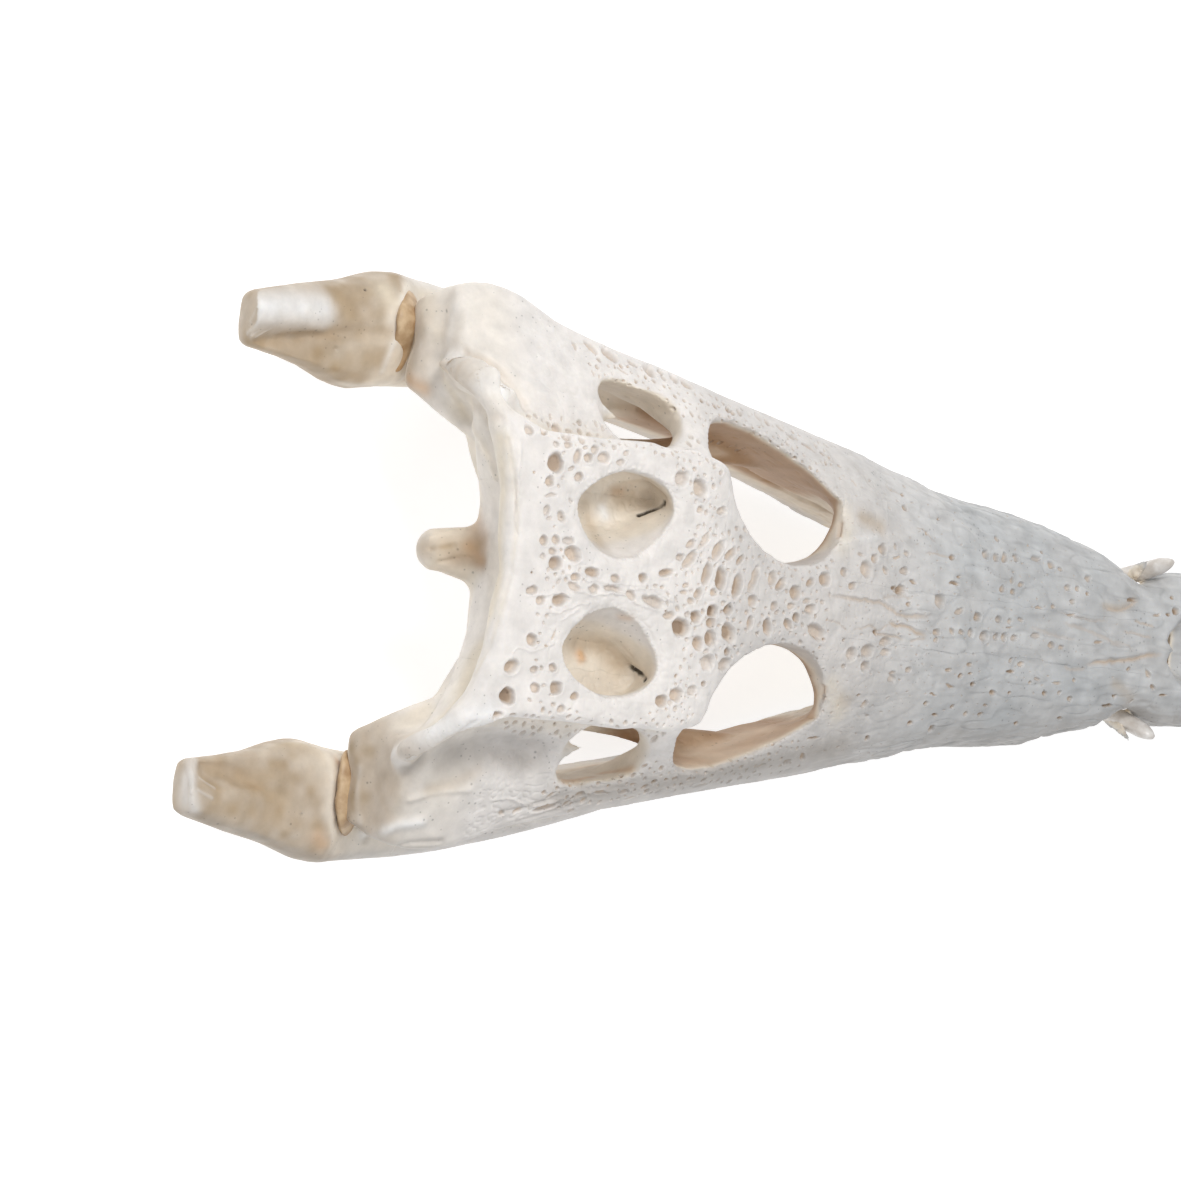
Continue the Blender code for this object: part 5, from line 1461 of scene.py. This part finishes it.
def bone_material():
    """The painted tint with mottling, grain and scattered pores, whose darkness is painted shade."""
    bone = Recipe("bone", 0.5)
    for name, value in (("Weight", 0.06), ("Radius", (1.0, 0.75, 0.5)), ("Scale", 1.2 * MM)):
        bone.shader.inputs[f"Subsurface {name}"].default_value = value
    tint = bone.add("Attribute", "Color", settings={"attribute_name": "tint"})
    mottle = bone.add("MapRange", "Result", {"Value": bone.noise(260.0, 6.0, 0.6)},
                      From_Min=0.30, From_Max=0.72, To_Min=0.86, To_Max=1.04)
    pore = bone.add("TexVoronoi", "Distance", {"Vector": bone.place}, Scale=620.0)
    reach = bone.add("MapRange", "Result", {"Value": bone.noise(90.0, 3.0)},
                     From_Min=0.45, From_Max=0.70, To_Min=0.05, To_Max=0.26)
    hole = bone.add("Math", "Value", {0: pore, 1: reach}, {"operation": "DIVIDE", "use_clamp": True})
    # Pores are darkened: painted shade in the tiny holes
    dark = bone.add("MapRange", "Result", {"Value": hole}, From_Min=0.3, To_Min=0.62)
    bone.links.new(bone.scaled(bone.scaled(tint, mottle), dark), bone.shader.inputs["Base Color"])
    grain = bone.bump(bone.noise(1500.0, 5.0, 0.65), 0.25, 0.12 * MM)
    bone.links.new(bone.bump(hole, 0.5, 0.10 * MM, grain), bone.shader.inputs["Normal"])
    return bone.made


def patchy_material(name, roughness, scale, low, dark, high, pale, strength, distance):
    """Patches of two colours with a bump that follows them."""
    patchy = Recipe(name, roughness)
    patch = patchy.noise(scale, 5.0)
    patchy.two_colours(patch, low, dark, high, pale)
    patchy.links.new(patchy.bump(patch, strength, distance), patchy.shader.inputs["Normal"])
    return patchy.made


# Teeth, at the places of the solids' own

SHARP = curve_through((0.0, 0.92), (0.45, 1.0), (0.80, 0.60), (0.93, 0.34), (1.0, 0.14))
BLUNT = curve_through((0.0, 0.95), (0.45, 1.0), (0.78, 0.92), (0.92, 0.66), (1.0, 0.34))


def ring_faces(rings, segments):
    """Faces between neighbouring rings of points."""
    faces = []
    for k in range(rings - 1):
        for i in range(segments):
            j = (i + 1) % segments
            faces.append((k * segments + i, k * segments + j, (k + 1) * segments + j, (k + 1) * segments + i))
    return faces


# A tooth's bend as a share of its radius, its keels and their sharpness, its shallow flutes, and
# where along the tooth both come in
BEND = 0.40
KEEL, KEEL_SHARPNESS = 0.07, 14
FLUTE, FLUTES = 0.008, 9
KEEL_SPAN, FLUTE_SPAN = (0.4, 0.7), (0.35, 0.5)
TIP_CAP = 0.12
# A tooth's radius over that of its solid
OVER_SOLID = 1.03


def tooth(root, tip, radius, profile=SHARP, flatten=0.8, rings=22, segments=24):
    """Curved cone from inside the jaw to the tip, with a keel in front and behind."""
    root, tip = Vector(root), Vector(tip)
    shares = np.linspace(0.0, 1.0, rings)
    centres = []
    for share in shares:
        centre = root.lerp(tip, float(share))
        centre.y -= BEND * radius * math.sin(math.pi * share)
        centres.append(place(*centre))
    points = []
    for k, share in enumerate(shares):
        ahead = (centres[min(k + 1, rings - 1)] - centres[max(k - 1, 0)]).normalized()
        across = ahead.cross(Vector((0, 1, 0))).normalized()
        along = across.cross(ahead).normalized()
        for i in range(segments):
            a = 2 * math.pi * i / segments
            keel = 1 + KEEL * abs(math.sin(a)) ** KEEL_SHARPNESS * eased(share, *KEEL_SPAN)
            flute = 1 + FLUTE * math.cos(FLUTES * a) * eased(share, *FLUTE_SPAN)
            size = radius * SKULL_LENGTH * float(profile(share)) * keel * flute
            points.append(centres[k] + across * (size * flatten * math.cos(a)) + along * (size * math.sin(a)))
    faces = [tuple(reversed(range(segments)))] + ring_faces(rings, segments)
    points.append(centres[-1] + (centres[-1] - centres[-2]).normalized() * radius * TIP_CAP * SKULL_LENGTH)
    last = (rings - 1) * segments
    for i in range(segments):
        faces.append((last + i, last + (i + 1) % segments, len(points) - 1))
    return [tuple(p) for p in points], faces


# Station, length below the jaw's edge and radius of each upper tooth
PREMAXILLA_TEETH = ((0.020, 0.016, 0.0045), (0.040, 0.020, 0.0055), (0.066, 0.028, 0.0075),
                    (0.096, 0.034, 0.0090), (0.124, 0.022, 0.0065))
MAXILLA_TEETH = ((0.197, 0.016, 0.0055), (0.222, 0.020, 0.0065), (0.250, 0.024, 0.0075),
                 (0.282, 0.030, 0.0090), (0.318, 0.036, 0.0105), (0.352, 0.022, 0.0070),
                 (0.382, 0.018, 0.0060), (0.412, 0.020, 0.0065), (0.446, 0.026, 0.0080),
                 (0.482, 0.028, 0.0085), (0.516, 0.022, 0.0075), (0.548, 0.018, 0.0070),
                 (0.578, 0.014, 0.0065))
TOOTH_INSET = 0.011
TOOTH_ROOT = 0.020
# What the draw changes in a tooth: its station, and its length by a factor
TOOTH_DRIFT = 0.003
SHORTEST, LONGEST = 0.85, 1.12
# Outward lean of a tooth over its length, and how far back its tip lies
SPLAY = 0.10
TIP_BACK = 0.004


def upper_teeth(rows, side, rng):
    """Root, tip and radius of each tooth in a row, as places on the skull."""
    teeth = []
    for station, length, radius in rows:
        station += rng.uniform(-TOOTH_DRIFT, TOOTH_DRIFT)
        length *= rng.uniform(SHORTEST, LONGEST)
        edge = float(EDGE(station))
        x = float(HALF_WIDTH(station)) - TOOTH_INSET
        splay = SPLAY * length
        teeth.append(((side * (x - splay), station, edge + TOOTH_ROOT),
                      (side * (x + splay), station + TIP_BACK, edge - length), radius))
    return teeth


def tooth_row(name, teeth, profile=SHARP):
    """One piece of several teeth, each a closed cone."""
    points, faces = [], []
    for root, tip, radius in teeth:
        more, sides = tooth(root, tip, radius * OVER_SOLID, profile)
        faces += [tuple(i + len(points) for i in face) for face in sides]
        points += more
    return closed_object(name, points, faces)


# The gristle's half width and how far its lumps add to it, how deep its middle lies between the bones,
# its height over its width above and below, and the pixels from its line to the bones on both sides
GRISTLE_HALF, GRISTLE_LUMP = 2.35 * MM, 0.10 * MM
GRISTLE_SUNK = 0.3 * MM
GRISTLE_ABOVE, GRISTLE_BELOW = 0.22, 1.1
GRISTLE_SEEN = 9


def gristle(pixels):
    """Lumpy strip along a joint, between the bones seen on both sides of each pixel."""
    middles = []
    for u, v in pixels:
        ahead, behind = seen(u + GRISTLE_SEEN, v)[0], seen(u - GRISTLE_SEEN, v)[0]
        if ahead is not None and behind is not None:
            middles.append(((ahead + behind) / 2 - Vector((0, 0, GRISTLE_SUNK)))[:])
    line = smooth_line(middles, 8)
    points = []
    segments = 14
    for k, middle in enumerate(line):
        share = k / (len(line) - 1)
        ahead = Vector(line[min(k + 1, len(line) - 1)] - line[max(k - 1, 0)]).normalized()
        across = ahead.cross(Vector((0, 0, 1))).normalized()
        up = across.cross(ahead).normalized()
        taper = math.sqrt(max(1 - (2 * share - 1) ** 6, 0.02))
        size = (GRISTLE_HALF + GRISTLE_LUMP * math.sin(7 * share * math.pi)) * taper
        for i in range(segments):
            a = 2 * math.pi * i / segments
            tall = GRISTLE_ABOVE if math.sin(a) > 0 else GRISTLE_BELOW
            ring = across * (size * math.cos(a)) + up * (size * math.sin(a) * tall)
            points.append(tuple(Vector(middle) + ring))
    faces = ring_faces(len(line), segments)
    faces.append(tuple(reversed(range(segments))))
    faces.append(tuple(range(len(points) - segments, len(points))))
    return closed_object("gristle", points, faces)


CRANIUM = ["premaxillae", "nasals", "frontal", "skull_table", "palate", "braincase"] + [
    f"{bone}_{side}" for bone in ("maxilla", "jugal", "quadrate") for side in ("left", "right")]
TOOTHED = ("premaxillae", "maxilla_left", "maxilla_right")

solid_points, solid_faces = [], []
for node in nodes.values():
    shift = len(solid_points)
    solid_points += [v.co.copy() for v in node.data.vertices]
    solid_faces += [tuple(i + shift for i in p.vertices) for p in node.data.polygons]
SOLIDS = BVHTree.FromPolygons(solid_points, solid_faces)

BONE = bone_material()
ENAMEL = patchy_material("enamel", 0.28, 400.0, 0.35, (0.66, 0.54, 0.38, 1), 0.65, (0.80, 0.74, 0.62, 1),
                         0.15, 0.05 * MM)
PALE_ENAMEL = patchy_material("pale_enamel", 0.28, 400.0, 0.35, (0.58, 0.53, 0.48, 1), 0.65,
                              (0.76, 0.73, 0.70, 1), 0.15, 0.05 * MM)
GRISTLE_STUFF = patchy_material("gristle", 0.42, 320.0, 0.36, (0.38, 0.235, 0.12, 1), 0.66,
                                (0.60, 0.44, 0.27, 1), 0.3, 0.12 * MM)


def dressed(thing, replaced, made=BONE):
    """Gives a piece its material and hides the solids that it stands for."""
    thing.data.materials.clear()
    thing.data.materials.append(made)
    thing.data.shade_smooth()
    thing.data.set_sharp_from_angle(angle=SHARP_ANGLE)
    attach(thing, "root")
    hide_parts(*replaced)


# Layers of bumps: height and width in metres, and the seed of their noise
LUMPS = ((0.06 * MM, 5 * MM, 21), (0.03 * MM, 1.8 * MM, 22))
WRINKLES = ((0.28 * MM, 2.4 * MM, 23), (0.20 * MM, 1.1 * MM, 24))
SWELLS = ((0.55 * MM, 11 * MM, 27),)
CREASE_DEPTH = 0.20 * MM
FLANK_PIT_DEPTH = 0.16 * MM
NET_DEPTH = 0.15 * MM
# Where the wrinkles, the flanks' pits and the net of the top lie, by station
WRINKLES_END = (0.50, 0.66)
FLANK_END = (0.93, 1.0)
NET_SPAN = ((0.50, 0.56), (0.955, 0.975))


def layered(co, layers):
    """The sum of several noises."""
    return sum(tall * noise(co, cell, seed) for tall, cell, seed in layers)


def rough_bone(co, out, station):
    """Bumps and lengthwise wrinkles, strongest on the snout, pitting on the flanks and a net on top."""
    stretched = co * STRETCHED
    front = 1 - eased(station, *WRINKLES_END)
    folds = layered(stretched, WRINKLES) + layered(co, SWELLS) - CREASE_DEPTH * creases(stretched)
    flank = eased(np.abs(out[:, 0]), 0.45, 0.75) * (1 - eased(station, *FLANK_END))
    pits = eased(noise(co * (1, 0.6, 1), 1.5 * MM, 29), 0.30, 0.75) * eased(noise(co, 9 * MM, 30), -0.4, 0.3)
    net = (1 - eased(np.abs(noise(co, 1.5 * MM, 33)), 0.0, 0.30)) * eased(out[:, 2], 0.6, 0.85)
    net = net * within(station, *NET_SPAN)
    return layered(co, LUMPS) + folds * front - FLANK_PIT_DEPTH * pits * flank - NET_DEPTH * net


# Faces that are refined: seen from above by more than the first value, or turned sideways by more
# than the second and in front of the third, which is a length along the skull in metres. A second
# time, only those of the first kind where the relief is steeper than the last
SEEN_FACE, FLANK_FACE, FLANK_REAR, STEEP = 0.3, 0.45, 0.10, 0.30
OUT_AXES = ("out_x", "out_y", "out_z")


def refined(thing, sheet, cover):
    """Halves a bone's edges where marks are seen, and once more where they are steep."""
    for steep_only in (False, True):
        centre, facing = (values_of(thing.data.polygons, kind).astype(float) for kind in ("center", "normal"))
        chosen = in_view_from_above(centre, facing, cover) > SEEN_FACE
        if steep_only:
            chosen &= sheet.at(sheet.slope, centre) > STEEP
        else:
            chosen |= (np.abs(facing[:, 0]) > FLANK_FACE) & (centre[:, 1] < FLANK_REAR)
        if chosen.any():
            refine(thing, chosen)


def finished(thing, name, strokes, sheet, cover):
    """Refines a bone, presses its marks in and paints it."""
    refined(thing, sheet, cover)
    mesh = thing.data
    co = points_of(mesh)
    out = np.stack([value_of(mesh, axis) for axis in OUT_AXES], 1)
    light = value_of(mesh, "open")
    length = np.linalg.norm(out, axis=1)
    out[length > LOST] /= length[length > LOST, None]
    for i in np.nonzero(length <= LOST)[0]:
        _, nearest, away = tree.find(co[i])
        out[i] = tree_out[nearest] if away < SKIN_REACH else 0
        light[i] = tree_light[nearest]
    keep_value(mesh, "open", light)
    weight = in_view_from_above(co, out, cover)
    side, station, _ = skull_frame(co)
    amount = sheet.at(sheet.height, co) * weight + rough_bone(co, out, station) - SEAM_SWELL
    stain_and_shade = sheet.at(sheet.stain_and_shade, co) * weight
    for hand, flank in flanks.items():
        share = flank_share(out, side, station, hand) * (1 - weight)
        amount += flank.at(flank.height, co) * share
        stain_and_shade = np.maximum(stain_and_shade, flank.at(flank.stain_and_shade, co) * share)
    amount += pressed(co, out, strokes, True)
    co += out * amount[:, None]
    co = np.clip(co, LOW + EDGE_CLEARANCE, HIGH - EDGE_CLEARANCE)
    move_points(mesh, co)
    keep_value(mesh, "stain_and_shade", stain_and_shade)
    painted(thing, strokes)
    for axis in OUT_AXES:
        mesh.attributes.remove(mesh.attributes[axis])
    thing.name = f"bone_{name}"
    mesh.name = thing.name
    dressed(thing, [name])


def skinned(name, members, toothed, strokes):
    """The skin of several bones with its broad forms pressed in, and its ways out kept for the cuts."""
    skin = joined_skin(name, members, toothed)
    co, normal = points_of(skin.data), normals_of(skin.data)
    openness(skin, SOLIDS)
    move_points(skin.data, co + normal * pressed(co, normal, strokes, False)[:, None])
    normal = normals_of(skin.data)
    for k, axis in enumerate(OUT_AXES):
        keep_value(skin.data, axis, normal[:, k])
    skin_co.append(points_of(skin.data))
    skin_out.append(normal)
    skin_light.append(value_of(skin.data, "open"))
    return skin


def jaw_bone(side, station, height):
    """Name of the lower jaw's bone at a place."""
    bone = "dentary" if station < DENTARY_END else "angular" if station < ANGULAR_END else "articular"
    return f"{bone}_{'left' if side > 0 else 'right'}"


skin_co, skin_out, skin_light = [], [], []
strokes = read_strokes()
sheet = top_relief()
flanks = {hand: flank_relief(hand) for hand in (1, -1)}
cranium = skinned("cranium", CRANIUM, TOOTHED, strokes)
cover = Cover(points_of(cranium.data))
bones = parted(cranium, CRANIUM, cranium_cuts(), cranium_bone)
for hand in ("left", "right"):
    members = [f"{bone_name}_{hand}" for bone_name in ("dentary", "angular", "articular")]
    jaw = skinned(f"jaw_{hand}", members, (), strokes)
    cover.add(points_of(jaw.data))
    cuts = [([bone_name], fence([(-BEYOND, at), (BEYOND, at)], -0.02, 0.35, 0.4, 2.4, 40))
            for bone_name, at in zip(members, (DENTARY_END, ANGULAR_END))]
    bones.update(parted(jaw, members, cuts, jaw_bone))
skin_co = np.concatenate(skin_co)
tree_out, tree_light = np.concatenate(skin_out), np.concatenate(skin_light)
tree = KDTree(len(skin_co))
for i, point in enumerate(skin_co):
    tree.insert(point, i)
tree.balance()
for name, thing in bones.items():
    finished(thing, name, strokes, sheet, cover)

# The lower jaw's fourth teeth: root, tip and radius of the left one, and how far its tip may drift
FOURTH_ROOT, FOURTH_TIP, FOURTH_RADIUS = (0.064, 0.172, 0.058), (0.090, 0.140, 0.124), 0.0108
FOURTH_DRIFT = 0.002

rng = random.Random(7)
rows = {"premaxillae": upper_teeth(PREMAXILLA_TEETH, 1, rng) + upper_teeth(PREMAXILLA_TEETH, -1, rng)}
rows["maxilla_left"] = upper_teeth(MAXILLA_TEETH, 1, rng)
rows["maxilla_right"] = upper_teeth(MAXILLA_TEETH, -1, rng)
for name, teeth in rows.items():
    dressed(tooth_row(f"teeth_{name}", teeth), [name], made=ENAMEL)
for side, hand in ((1, "left"), (-1, "right")):
    lean = rng.uniform(-FOURTH_DRIFT, FOURTH_DRIFT)
    root = (side * FOURTH_ROOT[0], *FOURTH_ROOT[1:])
    tip = (side * FOURTH_TIP[0], FOURTH_TIP[1] + lean, FOURTH_TIP[2])
    fourth = (root, tip, FOURTH_RADIUS)
    dressed(tooth_row(f"fourth_tooth_{hand}", [fourth], BLUNT), [f"dentary_{hand}"], made=PALE_ENAMEL)

for hand, pixels in GRISTLE.items():
    piece = gristle(pixels)
    piece.name = f"gristle_{hand}"
    dressed(piece, [f"articular_{hand}"], made=GRISTLE_STUFF)

# Floor, light and camera

FLOOR_HALF = 3
FLOOR_GLOW = 0.66
SKY_COLOUR, SKY_LIGHT = (0.95, 0.97, 1, 1), 0.53
LAMP_COLOUR = (1.0, 0.985, 0.96)
# Size in metres, power in watts, place and target of each lamp
LAMPS = {"key": (0.20, 2.7, (0.38, 0.24, 0.68), (0, 0, 0.03)),
         "fill": (0.45, 1.5, (-0.26, 0.12, 0.86), (0, 0.05, 0.03))}

floor_mesh = bpy.data.meshes.new("floor")
floor_mesh.from_pydata([(x * FLOOR_HALF, y * FLOOR_HALF, 0) for x, y in ((-1, -1), (1, -1), (1, 1), (-1, 1))],
                       [], [(0, 1, 2, 3)])
floor = make_object("floor", floor_mesh)
floor_material = bpy.data.materials.new("floor")
floor_material.use_nodes = True
for socket, value in (("Base Color", (0.60, 0.60, 0.60, 1)), ("Roughness", 0.9),
                      ("Emission Color", (1, 1, 1, 1)), ("Emission Strength", FLOOR_GLOW)):
    floor_material.node_tree.nodes["Principled BSDF"].inputs[socket].default_value = value
floor_mesh.materials.append(floor_material)

world = bpy.context.scene.world or bpy.data.worlds.new("world")
bpy.context.scene.world = world
world.use_nodes = True
background = world.node_tree.nodes.get("Background")
background.inputs[0].default_value = SKY_COLOUR
background.inputs[1].default_value = SKY_LIGHT

for name, (size, power, location, target) in LAMPS.items():
    lamp_data = bpy.data.lights.new(name, "AREA")
    lamp_data.size = size
    lamp_data.energy = power
    lamp_data.color = LAMP_COLOUR
    lamp = make_object(name, lamp_data)
    lamp.location = location
    lamp.rotation_euler = (Vector(target) - Vector(location)).to_track_quat("-Z", "Y").to_euler()

camera_data = bpy.data.cameras.new("camera")
camera_data.sensor_width = SENSOR
camera_data.lens = LENS
camera_data.clip_start = 0.01
camera = make_object("camera", camera_data)
camera.location = CAMERA_AT
camera.rotation_euler = CAMERA_TURN
bpy.context.scene.camera = camera
bpy.context.scene.view_settings.view_transform = "Standard"
